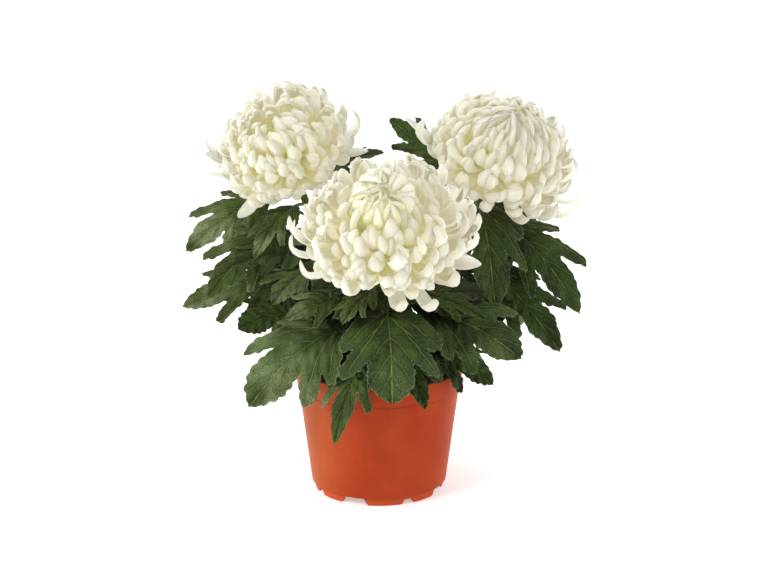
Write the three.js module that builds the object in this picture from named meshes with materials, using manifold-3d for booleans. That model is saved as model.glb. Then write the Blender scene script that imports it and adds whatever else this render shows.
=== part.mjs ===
// A pot chrysanthemum: a plastic nursery pot filled with potting soil, three leafy stems, and one
// large incurved bloom on each stem. Millimetres, +Z up. The origin is on the surface that the pot
// stands on, on the pot's axis. -Y is the front.
import * as THREE from "three";
import { mergeVertices } from "three/addons/utils/BufferGeometryUtils.js";
import Module from "manifold-3d";

const wasm = await Module();
wasm.setup();

// Driving dimensions.
const pot = {
  topRadius: 65.5,
  baseRadius: 52,
  height: 98,
  wall: 1.5,
  rimHeight: 15.5,
  rimStep: 0.8,
  footHeight: 6,
  footInset: 1.8,
  footWall: 2.4,
  floor: 1.6,
  holeRadius: 4,
  holeCircle: 37,
  holes: 6,
  sides: 40,
};
const soilDepth = { top: 83, ripple: 1.4, clearance: 0.35 };
const stemSize = { radius: 3, sides: 6, steps: 10, plantedTo: 50, holeClearance: 0.35 };
const leafSize = { thickness: 0.9, stalkRadius: 1.3, stalkShare: 0.2, foldDegrees: 12 };
const bracts = { depth: 8, radius: 11, gap: 0.35 };
const petalCurve = { count: 51, goldenAngle: Math.PI * (3 - Math.sqrt(5)), lowestDegrees: 118, seed: 7 };

// Each plant: where its stem stands in the soil, and the centre, axis and half sizes of its bloom.
const plants = {
  left: {
    foot: [-20, 14],
    bloom: { centre: [-74.5, 40, 258], axis: [-0.29, -0.6, 0.75], radius: 66, dome: 50, turn: 0.27 },
  },
  front: {
    foot: [3, -20],
    bloom: { centre: [4, -62, 210], axis: [0, -0.5, 0.87], radius: 72, dome: 52, turn: 1.62 },
  },
  right: {
    foot: [23, 14],
    bloom: { centre: [92.5, 40, 253], axis: [0.27, -0.49, 0.83], radius: 66, dome: 50, turn: 0.54 },
  },
};

// Each leaf: its place up the stem as a share of it, its tip, how far its midrib's control point
// stands above the chord, its blade's full width, and its roll about the midrib in degrees.
const leaves = {
  left: [
    { at: 0.9, tip: [-151, 24, 186], arch: 26, wide: 48, roll: -55 },
    { at: 0.86, tip: [-95, -20, 182], arch: 24, wide: 36, roll: -12 },
    { at: 0.74, tip: [-131, -14, 153], arch: 38, wide: 54, roll: -50 },
    { at: 0.56, tip: [-155.5, 26, 139], arch: 16, wide: 50, roll: -50 },
    { at: 0.64, tip: [-100, -36, 170], arch: 10, wide: 46, roll: -38 },
    { at: 0.4, tip: [-110, -4, 121], arch: 18, wide: 50, roll: -42 },
    { at: 0.5, tip: [-72, -44, 146], arch: 18, wide: 44, roll: -25 },
    { at: 0.8, tip: [-122, 80, 176], arch: 34, wide: 52, roll: 12 },
    { at: 0.66, tip: [-66, 122, 160], arch: 38, wide: 54, roll: 10 },
    { at: 0.52, tip: [-104, 84, 122], arch: 38, wide: 54, roll: 0 },
    { at: 0.4, tip: [-52, 106, 92], arch: 44, wide: 50, roll: 0 },
    { at: 0.34, tip: [-92, 42, 82], arch: 40, wide: 46, roll: 0 },
    { at: 0.93, tip: [2, 66, 250], arch: 12, wide: 38, roll: 20 },
  ],
  front: [
    { at: 0.66, tip: [11, -112, 98], arch: 42, wide: 80, roll: 0 },
    { at: 0.56, tip: [-95, -60, 80], arch: 40, wide: 70, roll: -42 },
    { at: 0.78, tip: [-74, -70, 144], arch: 20, wide: 46, roll: -35 },
    { at: 0.8, tip: [-28, -98, 138], arch: 16, wide: 38, roll: -10 },
    { at: 0.42, tip: [-32, -90, 57], arch: 56, wide: 44, roll: 0 },
    { at: 0.38, tip: [38, -90, 84], arch: 40, wide: 42, roll: 5 },
    { at: 0.6, tip: [106, -56, 116], arch: 36, wide: 64, roll: 45 },
    { at: 0.42, tip: [88, -36, 90], arch: 30, wide: 50, roll: 30 },
    { at: 0.76, tip: [80, -64, 144], arch: 20, wide: 42, roll: 30 },
    { at: 0.46, tip: [-36, -66, 98], arch: 24, wide: 40, roll: 0 },
    { at: 0.86, tip: [22, -92, 136], arch: 10, wide: 46, roll: 5 },
  ],
  right: [
    { at: 0.86, tip: [88, -30, 151], arch: 56, wide: 60, roll: 0 },
    { at: 0.84, tip: [156, -4, 131], arch: 46, wide: 58, roll: 50 },
    { at: 0.7, tip: [144, -10, 106], arch: 24, wide: 56, roll: 42 },
    { at: 0.9, tip: [122, 30, 180], arch: 26, wide: 36, roll: 40 },
    { at: 0.76, tip: [136, 74, 152], arch: 38, wide: 54, roll: -10 },
    { at: 0.64, tip: [90, 122, 158], arch: 38, wide: 54, roll: 0 },
    { at: 0.52, tip: [118, 80, 108], arch: 40, wide: 54, roll: 0 },
    { at: 0.4, tip: [62, 104, 88], arch: 44, wide: 50, roll: 0 },
    { at: 0.34, tip: [86, 40, 80], arch: 36, wide: 46, roll: 0 },
    { at: 0.8, tip: [24, 106, 196], arch: 26, wide: 48, roll: 0 },
    { at: 0.54, tip: [8, 114, 122], arch: 40, wide: 52, roll: 0 },
    { at: 0.68, tip: [54, -10, 152], arch: 16, wide: 44, roll: 5 },
    { at: 0.91, tip: [8, 78, 280], arch: 6, wide: 40, roll: -50 },
    { at: 0.88, tip: [22, 76, 236], arch: 18, wide: 44, roll: -45 },
  ],
};

// A leaf's midrib, from the middle of the stem to the tip: the share of the blade's length, which
// is below 0 along the stalk, and half the thickness there as a share of the stalk's or blade's.
const midrib = [
  { along: -0.25, stalk: 1 },
  { along: -0.09, stalk: 0.9 },
  { along: 0.02, stalk: 0.7 },
  { along: 0.1, stalk: 0.3 },
  { along: 0.22, stalk: 0 },
  { along: 0.36, stalk: 0 },
  { along: 0.5, stalk: 0 },
  { along: 0.6, stalk: 0 },
  { along: 0.77, stalk: 0 },
  { along: 1, stalk: 0 },
];
// One half of the flat leaf's edge: the share along, the share of the half width across, and the
// midrib point that the edge point's rib springs from.
const bladeEdge = [
  [0.01, 0.08, 2],
  [0.12, 0.66, 3],
  [0.26, 0.96, 4],
  [0.38, 1.0, 4],
  [0.45, 0.85, 5],
  [0.44, 0.58, 5],
  [0.56, 0.88, 6],
  [0.7, 0.9, 6],
  [0.76, 0.72, 6],
  [0.65, 0.36, 6],
  [0.79, 0.5, 7],
  [0.93, 0.32, 8],
];

const finish = {
  pot: new THREE.MeshStandardMaterial({ color: 0xb9472a, roughness: 0.55, metalness: 0 }),
  soil: new THREE.MeshStandardMaterial({ color: 0x2e2119, roughness: 1, metalness: 0 }),
  leaf: new THREE.MeshStandardMaterial({ color: 0x38521f, roughness: 0.6, metalness: 0 }),
  petal: new THREE.MeshStandardMaterial({ color: 0xf1eedd, roughness: 0.55, metalness: 0 }),
};

// A repeatable stream of numbers from 0 to 1.
function randomStream(seed) {
  let state = seed;
  return () => {
    state = (state * 1664525 + 1013904223) % 4294967296;
    return state / 4294967296;
  };
}

// A closed geometry as a manifold-3d solid, and a solid as a named mesh.
function solidFrom(geometry) {
  const bare = geometry.index ? geometry.toNonIndexed() : geometry.clone();
  const points = new THREE.BufferGeometry().setAttribute("position", bare.getAttribute("position"));
  const merged = mergeVertices(points, 1e-4);
  return new wasm.Manifold(
    new wasm.Mesh({
      numProp: 3,
      vertProperties: new Float32Array(merged.attributes.position.array),
      triVerts: new Uint32Array(merged.index.array),
    }),
  );
}

function meshFrom(name, solid, material) {
  const made = solid.getMesh();
  const geometry = new THREE.BufferGeometry();
  const points = new Float32Array(made.vertProperties);
  geometry.setAttribute("position", new THREE.BufferAttribute(points, 3));
  geometry.setIndex(new THREE.BufferAttribute(new Uint32Array(made.triVerts), 1));
  geometry.computeVertexNormals();
  const mesh = new THREE.Mesh(geometry, material);
  mesh.name = name;
  return mesh;
}

function geometryFrom(points, triangles) {
  const geometry = new THREE.BufferGeometry();
  const flat = points.flatMap((point) => [point.x, point.y, point.z]);
  geometry.setAttribute("position", new THREE.Float32BufferAttribute(flat, 3));
  geometry.setIndex(triangles.flat());
  return geometry;
}

// A closed solid through rings of equal point counts, with a fan over each end. Seen from the last
// ring, each ring runs anticlockwise.
function loft(rings) {
  const sides = rings[0].length;
  const points = rings.flat();
  const triangles = [];
  for (let ring = 0; ring + 1 < rings.length; ring++) {
    for (let side = 0; side < sides; side++) {
      const next = (side + 1) % sides;
      const [a, b] = [ring * sides + side, ring * sides + next];
      triangles.push([a, b, b + sides], [a, b + sides, a + sides]);
    }
  }
  const last = (rings.length - 1) * sides;
  for (let side = 1; side + 1 < sides; side++) {
    triangles.push([0, side + 1, side], [last, last + side, last + side + 1]);
  }
  return solidFrom(geometryFrom(points, triangles));
}

function ringAt(centre, axisU, axisV, radius, sides) {
  return Array.from({ length: sides }, (_, side) => {
    const angle = (side / sides) * 2 * Math.PI;
    return centre
      .clone()
      .addScaledVector(axisU, radius * Math.cos(angle))
      .addScaledVector(axisV, radius * Math.sin(angle));
  });
}

function latheSolid(profile, sides) {
  const outline = [...profile, profile[0]].map(([radius, z]) => new THREE.Vector2(radius, z));
  return solidFrom(new THREE.LatheGeometry(outline, sides).rotateX(Math.PI / 2));
}

function wallRadius(z) {
  return pot.baseRadius + ((pot.topRadius - pot.rimStep - pot.baseRadius) * z) / pot.height;
}

// The ring of feet: per quarter turn, two feet with a shallow notch between them and a clear gap
// after them. Each pair is an angle in degrees and the height of the ring's lower edge there.
function footRing() {
  const gap = pot.footHeight - 0.8;
  const notch = pot.footHeight * 0.6;
  const quarter = [
    [-14, gap],
    [-9, 0],
    [0, 0],
    [10, 0],
    [20, 0],
    [24, notch],
    [29, notch],
    [33, 0],
    [44, 0],
    [55, 0],
    [60, gap],
    [68, gap],
  ];
  const outer = pot.baseRadius - pot.footInset;
  const points = [];
  const triangles = [];
  for (let turn = 0; turn < 360; turn += 90) {
    for (const [degrees, low] of quarter) {
      const angle = THREE.MathUtils.degToRad(turn + degrees - 90);
      const corners = [
        [outer, low],
        [outer, pot.footHeight + 0.6],
        [outer - pot.footWall, pot.footHeight + 0.6],
        [outer - pot.footWall, low],
      ];
      for (const [radius, z] of corners) {
        points.push(new THREE.Vector3(radius * Math.cos(angle), radius * Math.sin(angle), z));
      }
    }
  }
  const around = points.length / 4;
  for (let at = 0; at < around; at++) {
    for (let side = 0; side < 4; side++) {
      const [a, b] = [at * 4 + side, at * 4 + ((side + 1) % 4)];
      const step = at + 1 < around ? 4 : 4 - points.length;
      triangles.push([a, a + step, b + step], [a, b + step, b]);
    }
  }
  return solidFrom(geometryFrom(points, triangles));
}

function potSolid() {
  const { footHeight, height, rimHeight, rimStep, wall, floor, topRadius } = pot;
  const rimFoot = height - rimHeight;
  const shell = latheSolid(
    [
      [0, footHeight],
      [pot.baseRadius - 0.8, footHeight],
      [pot.baseRadius, footHeight + 0.8],
      [wallRadius(rimFoot), rimFoot],
      [wallRadius(rimFoot) + rimStep, rimFoot + 0.5],
      [topRadius, height - 0.8],
      [topRadius - 0.8, height],
      [topRadius - wall - rimStep, height],
      [wallRadius(footHeight + floor) - wall, footHeight + floor],
      [0, footHeight + floor],
    ],
    pot.sides,
  );
  let solid = shell.add(footRing());
  for (let hole = 0; hole <= pot.holes; hole++) {
    const middle = hole === pot.holes;
    const angle = ((hole + 0.5) / pot.holes) * 2 * Math.PI;
    const reach = middle ? 0 : pot.holeCircle;
    const drill = new THREE.CylinderGeometry(pot.holeRadius, pot.holeRadius, 3 * floor, 6)
      .rotateX(Math.PI / 2)
      .translate(reach * Math.cos(angle), reach * Math.sin(angle), footHeight + floor / 2);
    solid = solid.subtract(solidFrom(drill));
  }
  return solid;
}

// The soil fills the pot to below the rim, with an uneven top and a plain hole for each stem.
function soilSolid(stemPaths) {
  const bottom = pot.footHeight + pot.floor + soilDepth.clearance;
  const innerRadius = (z) => wallRadius(z) - pot.wall - soilDepth.clearance - 0.15;
  const sides = 24;
  const up = [new THREE.Vector3(1, 0, 0), new THREE.Vector3(0, 1, 0)];
  const rings = [ringAt(new THREE.Vector3(0, 0, bottom), ...up, innerRadius(bottom), sides)];
  for (const share of [1, 0.72, 0.42, 0.14]) {
    const ring = ringAt(new THREE.Vector3(0, 0, soilDepth.top), ...up, 1, sides);
    ring.forEach((point, side) => {
      const ripple = Math.sin(side * 2.1 + share * 9) * Math.cos(side * 0.9 - share * 5);
      const z = soilDepth.top + soilDepth.ripple * (share < 1 ? ripple : -1) + 2 * (1 - share);
      point.set(point.x * share * innerRadius(z), point.y * share * innerRadius(z), z);
    });
    rings.push(ring);
  }
  let solid = loft(rings);
  for (const path of stemPaths) {
    solid = solid.subtract(tubeAlong(path, stemSize.radius + stemSize.holeClearance, 0.05));
  }
  return solid;
}

// A round bar along a path. The frame turns as little as it can from ring to ring.
function tubeAlong(path, radius, overrun = 0) {
  const rings = [];
  let axisU = new THREE.Vector3(1, 0, 0);
  for (let step = 0; step <= stemSize.steps; step++) {
    const share = step / stemSize.steps;
    const along = path.getTangentAt(share);
    axisU = axisU.clone().addScaledVector(along, -axisU.dot(along)).normalize();
    const axisV = along.clone().cross(axisU);
    const centre = path.getPointAt(share);
    if (step === 0) centre.addScaledVector(along, -overrun * 10);
    rings.push(ringAt(centre, axisU, axisV, radius, stemSize.sides));
  }
  return loft(rings);
}

// The bloom's frame: its axis, two vectors across it, and its centre.
function bloomFrame({ centre, axis, turn }) {
  const along = new THREE.Vector3(...axis).normalize();
  const level = new THREE.Vector3(0, 0, 1).cross(along).normalize();
  const acrossU = level.clone().applyAxisAngle(along, turn);
  return { centre: new THREE.Vector3(...centre), along, acrossU, acrossV: along.clone().cross(acrossU) };
}

function seatHeight(bloom) {
  return -0.36 * bloom.dome;
}

// The stem rises from the soil and turns into the bloom's axis below its cup of bracts.
function stemPath(plant) {
  const frame = bloomFrame(plant.bloom);
  const end = frame.centre.clone();
  end.addScaledVector(frame.along, seatHeight(plant.bloom) - bracts.gap - bracts.depth * 0.7);
  const neck = end.clone().addScaledVector(frame.along, -26);
  const start = new THREE.Vector3(...plant.foot, stemSize.plantedTo);
  const rise = start.clone().add(new THREE.Vector3(0, 0, 75));
  return new THREE.CubicBezierCurve3(start, rise, neck, end);
}

function bractCup(bloom) {
  const frame = bloomFrame(bloom);
  const rings = [
    [0, 0.34],
    [0.35, 0.8],
    [0.75, 1],
    [1, 0.96],
  ].map(([share, spread]) => {
    const height = seatHeight(bloom) - bracts.gap - bracts.depth * (1 - share);
    const centre = frame.centre.clone().addScaledVector(frame.along, height);
    return ringAt(centre, frame.acrossU, frame.acrossV, bracts.radius * spread, 12);
  });
  return loft(rings);
}

// A leaf's midrib is a parabola in the upright plane through its two ends. Its points are given as
// shares of the blade's length along and of its half width across, and a distance off its face.
function leafCurve(leaf, path) {
  const start = path.getPointAt(leaf.at);
  const tip = new THREE.Vector3(...leaf.tip);
  const control = start.clone().add(tip).multiplyScalar(0.5);
  control.z += leaf.arch;
  const side = tip.clone().sub(start).cross(new THREE.Vector3(0, 0, 1)).normalize();
  const roll = THREE.MathUtils.degToRad(leaf.roll);
  const fold = Math.tan(THREE.MathUtils.degToRad(leafSize.foldDegrees));
  return (along, across, lift) => {
    const share = leafSize.stalkShare + (1 - leafSize.stalkShare) * along;
    const point = start.clone().multiplyScalar((1 - share) ** 2);
    point.addScaledVector(control, 2 * share * (1 - share)).addScaledVector(tip, share ** 2);
    const tangent = control.clone().sub(start).multiplyScalar(1 - share);
    tangent.addScaledVector(tip.clone().sub(control), share).normalize();
    const turn = roll * Math.min(1, Math.max(0, 2 * along));
    const sideways = side.clone().applyAxisAngle(tangent, turn);
    const face = sideways.clone().cross(tangent);
    const reach = (across * leaf.wide) / 2;
    const rise = fold * Math.abs(reach) - (reach * reach) / (1.1 * leaf.wide);
    return point.addScaledVector(sideways, reach).addScaledVector(face, rise + lift);
  };
}

// The leaf is one closed shell: its stalk, its midrib and its lobed blade, with a rim between the
// upper and the lower skin.
function leafSolid(leaf, path) {
  const place = leafCurve(leaf, path);
  const { stalkRadius, thickness } = leafSize;
  const lift = ({ stalk }) => thickness / 2 + stalk * (stalkRadius - thickness / 2);
  const stalkEdge = [0, 1].map((at) => [midrib[at].along, stalkRadius / (leaf.wide / 2), at]);
  const half = [...stalkEdge, ...bladeEdge];
  const tip = midrib.length - 1;
  const upper = midrib.map((rib) => place(rib.along, 0, lift(rib)));
  const lower = midrib.map((rib) => place(rib.along, 0, -lift(rib)));
  for (const way of [1, -1]) {
    for (const [along, across, rib] of half) {
      const edge = rib < 2 ? 0.3 : thickness / 2;
      upper.push(place(along, way * across, edge));
      lower.push(place(along, way * across, -edge));
    }
  }
  const right = half.map((_, at) => midrib.length + at);
  const left = right.map((at) => at + half.length);
  const triangles = [];
  const count = upper.length;
  const face = (a, b, c) => triangles.push([a, b, c], [a + count, c + count, b + count]);
  for (let at = 0; at < half.length; at++) {
    const rib = half[at][2];
    const nextRib = at + 1 < half.length ? half[at + 1][2] : tip;
    const nextRight = at + 1 < half.length ? right[at + 1] : tip;
    const nextLeft = at + 1 < half.length ? left[at + 1] : tip;
    face(rib, right[at], nextRight);
    face(rib, nextLeft, left[at]);
    for (let step = rib; step < nextRib && nextRight !== tip; step++) {
      face(step, nextRight, step + 1);
      face(step, step + 1, nextLeft);
    }
  }
  const rim = [0, ...right, tip, ...left.reverse()];
  for (let at = 0; at < rim.length; at++) {
    const [a, b] = [rim[at], rim[(at + 1) % rim.length]];
    triangles.push([a, a + count, b + count], [a, b + count, b]);
  }
  return solidFrom(geometryFrom([...upper, ...lower], triangles));
}

function plantSolid(name, path) {
  let solid = tubeAlong(path, stemSize.radius).add(bractCup(plants[name].bloom));
  for (const leaf of leaves[name]) {
    solid = solid.add(leafSolid(leaf, path));
  }
  return solid;
}

// Petals stand out of a smaller core in golden-angle order, from the middle of the bloom down its
// sides. Each one leaves the core outwards and curls in towards the bloom's axis.
function bloomSolid(bloom) {
  const { radius, dome } = bloom;
  const frame = bloomFrame(bloom);
  const at = (across, height, angle) =>
    frame.centre
      .clone()
      .addScaledVector(frame.acrossU, across * Math.cos(angle))
      .addScaledVector(frame.acrossV, across * Math.sin(angle))
      .addScaledVector(frame.along, height);
  const coreRadius = 0.62 * radius;
  const coreDome = 0.62 * dome;
  const seat = seatHeight(bloom);
  const coreRing = (height) => {
    const across = coreRadius * Math.sqrt(Math.max(0.02, 1 - (height / coreDome) ** 2));
    return Array.from({ length: 18 }, (_, side) => at(across, height, (side / 18) * 2 * Math.PI));
  };
  let solid = loft([
    Array.from({ length: 18 }, (_, side) => at(bracts.radius * 1.5, seat, (side / 18) * 2 * Math.PI)),
    coreRing(seat + 4),
    coreRing(seat * 0.35),
    coreRing(coreDome * 0.35),
    coreRing(coreDome * 0.72),
    coreRing(coreDome * 0.96),
  ]);
  const random = randomStream(petalCurve.seed + Math.round(bloom.turn * 10));
  const lowest = Math.cos(THREE.MathUtils.degToRad(petalCurve.lowestDegrees));
  for (let petal = 0; petal < petalCurve.count; petal++) {
    const share = (petal + 0.5) / petalCurve.count;
    const polar = Math.acos(1 - (1 - lowest) * share ** 0.94);
    const scale = radius / 65;
    const shape = {
      polar,
      angle: petal * petalCurve.goldenAngle,
      length: (18 + 11 * share + 14 * share ** 3) * scale * (0.88 + 0.24 * random()),
      curl: 1.25 + 0.4 * random() + 0.35 * share,
      halfWidth: (5.4 + 2 * share) * scale,
      root: [0.9 * coreRadius * Math.sin(polar), 0.9 * coreDome * Math.cos(polar)],
    };
    solid = solid.add(petalSolid(at, shape));
  }
  return solid;
}

// A petal's heading is its angle from the bloom's axis. It leaves the core outwards and turns in
// towards the axis more and more quickly along its length.
function petalSolid(at, { polar, angle, length, curl, halfWidth, root }) {
  const thickness = 1.5;
  const stations = polar > 1.1 ? [0, 0.42, 0.72, 0.92] : [0, 0.45, 0.82];
  const headingAt = (share) => polar - curl * share ** 1.8;
  const pathAt = (share) => {
    const steps = 12;
    let [across, height] = root;
    for (let step = 0; step < steps; step++) {
      const heading = headingAt(((step + 0.5) / steps) * share);
      across += ((length * share) / steps) * Math.sin(heading);
      height += ((length * share) / steps) * Math.cos(heading);
    }
    return [across, height];
  };
  const sideways = at(0, 0, angle + Math.PI / 2).sub(at(0, 0, angle));
  sideways.copy(at(1, 0, angle + Math.PI / 2)).sub(at(0, 0, angle)).normalize();
  const spot = (share, side, lift) => {
    const [across, height] = pathAt(share);
    const heading = headingAt(share);
    const outAcross = across + lift * Math.cos(heading);
    const outHeight = height - lift * Math.sin(heading);
    return at(outAcross, outHeight, angle).addScaledVector(sideways, side);
  };
  const points = [];
  for (const share of stations) {
    const wide = halfWidth * (share === 0 ? 0.55 : 1 - 0.25 * Math.max(0, share - 0.7));
    const cup = 0.42 * wide;
    points.push(spot(share, wide, -cup), spot(share, 0, -thickness / 2));
    points.push(spot(share, -wide, -cup), spot(share, 0, thickness / 2));
  }
  points.push(spot(1, 0, -0.3 * halfWidth));
  const tip = points.length - 1;
  const last = (stations.length - 1) * 4;
  const triangles = [
    [0, 2, 1],
    [0, 3, 2],
  ];
  for (let ring = 0; ring < last; ring += 4) {
    for (let side = 0; side < 4; side++) {
      const [a, b] = [ring + side, ring + ((side + 1) % 4)];
      triangles.push([a, b, b + 4], [a, b + 4, a + 4]);
    }
  }
  for (let side = 0; side < 4; side++) {
    triangles.push([last + side, last + ((side + 1) % 4), tip]);
  }
  return solidFrom(geometryFrom(points, triangles));
}

const group = new THREE.Group();
const stemPaths = Object.fromEntries(Object.entries(plants).map(([name, plant]) => [name, stemPath(plant)]));
group.add(meshFrom("pot", potSolid(), finish.pot));
group.add(meshFrom("soil", soilSolid(Object.values(stemPaths)), finish.soil));
for (const name of Object.keys(plants)) {
  group.add(meshFrom(`leafy_stem_${name}`, plantSolid(name, stemPaths[name]), finish.leaf));
  group.add(meshFrom(`bloom_${name}`, bloomSolid(plants[name].bloom), finish.petal));
}

export default group;
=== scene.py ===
# A pot chrysanthemum: a plastic pot, potting soil, three leafy stems and three white blooms.
# Metres, +Z up, the front is -Y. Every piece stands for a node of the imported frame.
import random
from math import cos, exp, pi, radians, sin, sqrt, tan

import bmesh
import bpy
from mathutils import Matrix, Vector
from mathutils.geometry import delaunay_2d_cdt, intersect_point_line


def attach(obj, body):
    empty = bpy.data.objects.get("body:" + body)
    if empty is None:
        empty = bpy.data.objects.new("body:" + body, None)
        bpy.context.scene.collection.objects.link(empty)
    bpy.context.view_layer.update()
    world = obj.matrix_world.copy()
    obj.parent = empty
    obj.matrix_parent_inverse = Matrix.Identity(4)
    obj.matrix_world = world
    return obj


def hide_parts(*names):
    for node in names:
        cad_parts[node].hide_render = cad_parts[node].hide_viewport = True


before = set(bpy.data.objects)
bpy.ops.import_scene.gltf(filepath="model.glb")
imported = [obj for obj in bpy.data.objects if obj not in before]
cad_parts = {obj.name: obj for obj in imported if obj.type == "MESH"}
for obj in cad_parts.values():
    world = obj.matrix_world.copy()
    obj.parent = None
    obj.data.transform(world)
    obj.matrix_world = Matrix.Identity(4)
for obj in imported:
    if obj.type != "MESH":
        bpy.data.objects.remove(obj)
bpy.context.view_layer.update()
scene = bpy.context.scene
mm = 0.001
print("frame loaded with", len(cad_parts), "nodes")


# Node trees are written as expressions on wires.
class Wire:  # one output socket of a node tree
    def __init__(self, net, socket):
        self.net = net
        self.socket = socket

    def __getitem__(self, name):  # another output of the same node
        return Wire(self.net, self.socket.node.outputs[name])

    def smooth(self, low, high, shape="SMOOTHSTEP"):  # 0 below low, 1 above high
        ends = {"Value": self, "From Min": low, "From Max": high}
        return self.net.node("ShaderNodeMapRange", ends, interpolation_type=shape)

    def ramp(self, low, high):  # the same in a straight line
        return self.smooth(low, high, "LINEAR")

    def parts(self):  # x, y and z of a vector
        made = self.net.node("ShaderNodeSeparateXYZ", {"Vector": self})
        return [made[axis] for axis in "XYZ"]


def wireMethod(operation, isReflected=False):
    def method(self, *others):
        values = (*others, self) if isReflected else (self, *others)
        return self.net.maths(operation, *values)

    return method


arithmetic = {"add": "ADD", "sub": "SUBTRACT", "mul": "MULTIPLY", "truediv": "DIVIDE", "pow": "POWER"}
for word, operation in arithmetic.items():
    setattr(Wire, f"__{word}__", wireMethod(operation))
    setattr(Wire, f"__r{word}__", wireMethod(operation, True))

methods = {
    "__abs__": "ABSOLUTE",
    "__gt__": "GREATER_THAN",
    "sin": "SINE",
    "cos": "COSINE",
    "root": "SQRT",
    "least": "MINIMUM",
    "most": "MAXIMUM",
    "dot": "DOT_PRODUCT",
    "cross": "CROSS_PRODUCT",
    "size": "LENGTH",
    "unit": "NORMALIZE",
}
for word, operation in methods.items():
    setattr(Wire, word, wireMethod(operation))


def isVector(value):
    if isinstance(value, Wire):
        return value.socket.type in ("VECTOR", "RGBA")
    return isinstance(value, (tuple, Vector))


class Net:  # a node tree that is being written
    def __init__(self, tree):
        self.tree = tree

    def node(self, kind, sockets=None, **settings):
        made = self.tree.nodes.new(kind)
        for name, value in settings.items():
            setattr(made, name, value)
        shown = [socket for socket in made.inputs if socket.enabled]
        for key, value in (sockets or {}).items():
            socket = shown[key] if isinstance(key, int) else next(s for s in shown if s.name == key)
            self.feed(socket, value)
        return Wire(self, next((socket for socket in made.outputs if socket.enabled), None))

    def feed(self, socket, value):
        if isinstance(value, (list, tuple)) and isinstance(value[0], Wire):
            for one in reversed(value):
                self.feed(socket, one)
        elif isinstance(value, Wire):
            self.tree.links.new(value.socket, socket)
        elif socket.type == "VECTOR" and isinstance(value, (int, float)):
            socket.default_value = (value, value, value)
        elif socket.type == "RGBA":
            socket.default_value = (*value[:3], 1)
        else:
            socket.default_value = value

    def maths(self, operation, *values):
        kind = "ShaderNodeVectorMath" if any(map(isVector, values)) else "ShaderNodeMath"
        return self.node(kind, dict(enumerate(values)), operation=operation)

    def vector(self, x, y, z):
        return self.node("ShaderNodeCombineXYZ", {"X": x, "Y": y, "Z": z})

    def blend(self, factor, first, second):  # colours
        return self.node("ShaderNodeMix", {"Factor": factor, "A": first, "B": second}, data_type="RGBA")

    def noise(self, place, scale, detail=2, roughness=0.5):
        sockets = {"Vector": place, "Scale": scale, "Detail": detail, "Roughness": roughness}
        return self.node("ShaderNodeTexNoise", sockets)

    def cells(self, place, scale, feature="F1"):
        return self.node("ShaderNodeTexVoronoi", {"Vector": place, "Scale": scale}, feature=feature)

    def bump(self, height, distance, strength):
        return self.node("ShaderNodeBump", {"Height": height, "Distance": distance, "Strength": strength})


def newTree(name, inputs):  # a geometry tree, its net and its named inputs
    tree = bpy.data.node_groups.new(name, "GeometryNodeTree")
    tree.interface.new_socket(name="Geometry", in_out="OUTPUT", socket_type="NodeSocketGeometry")
    tree.interface.new_socket(name="Geometry", in_out="INPUT", socket_type="NodeSocketGeometry")
    for label, kind in inputs.items():
        tree.interface.new_socket(name=label, in_out="INPUT", socket_type="NodeSocket" + kind)
    net = Net(tree)
    entry = tree.nodes.new("NodeGroupInput")
    return net, {socket.name: Wire(net, socket) for socket in entry.outputs if socket.name}


def closeTree(net, parts, material):
    joined = net.node("GeometryNodeJoinGeometry", {"Geometry": parts})
    real = net.node("GeometryNodeRealizeInstances", {"Geometry": joined})
    painted = net.node("GeometryNodeSetMaterial", {"Geometry": real, "Material": material})
    leave = net.tree.nodes.new("NodeGroupOutput")
    net.feed(leave.inputs[0], painted)
    return net.tree


def attributeOf(net, name, kind="FLOAT"):
    return net.node("GeometryNodeInputNamedAttribute", {"Name": name}, data_type=kind)


def keepAttribute(net, geometry, name, value, kind="FLOAT"):
    sockets = {"Geometry": geometry, "Name": name, "Value": value}
    return net.node("GeometryNodeStoreNamedAttribute", sockets, data_type=kind, domain="POINT")


def drawn(net, low, high, ident, seed):  # a seeded random number
    sockets = {"Min": low, "Max": high, "ID": ident, "Seed": seed}
    return net.node("FunctionNodeRandomValue", sockets, data_type="FLOAT")


def growOn(net, points, thing, more=None):  # a copy of a thing on each point, as one mesh
    shape = net.node("GeometryNodeObjectInfo", {"Object": thing})["Geometry"]
    sockets = {"Points": points, "Instance": shape} | (more or {})
    grown = net.node("GeometryNodeInstanceOnPoints", sockets)
    return net.node("GeometryNodeRealizeInstances", {"Geometry": grown})


def addObject(name, mesh):
    thing = bpy.data.objects.new(name, mesh)
    scene.collection.objects.link(thing)
    return thing


def meshFrom(name, points, faces, sharp=()):
    mesh = bpy.data.meshes.new(name)
    mesh.from_pydata(points, [], faces, shade_flat=False)
    if sharp:
        crease = {tuple(sorted(pair)) for pair in sharp}
        marks = mesh.attributes.new("sharp_edge", "BOOLEAN", "EDGE")
        marks.data.foreach_set("value", [tuple(sorted(edge.vertices)) in crease for edge in mesh.edges])
    return mesh


def writeAttribute(mesh, name, values):
    isVector = isinstance(values[0], (list, tuple, Vector))
    made = mesh.attributes.new(name, "FLOAT_VECTOR" if isVector else "FLOAT", "POINT")
    flat = [part for value in values for part in value] if isVector else values
    made.data.foreach_set("vector" if isVector else "value", flat)


def addStep(thing, tree, values):  # a geometry tree as a modifier, its inputs set by identifier
    step = thing.modifiers.new(tree.name, "NODES")
    step.node_group = tree
    for item in tree.interface.items_tree:
        if item.in_out == "INPUT" and item.name in values:
            step[item.identifier] = values[item.name]


def settle(thing):  # the evaluated result becomes a plain mesh
    graph = bpy.context.evaluated_depsgraph_get()
    shaped = thing.evaluated_get(graph)
    mesh = bpy.data.meshes.new_from_object(shaped, preserve_all_data_layers=True, depsgraph=graph)
    thing.modifiers.clear()
    thing.data = mesh


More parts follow.
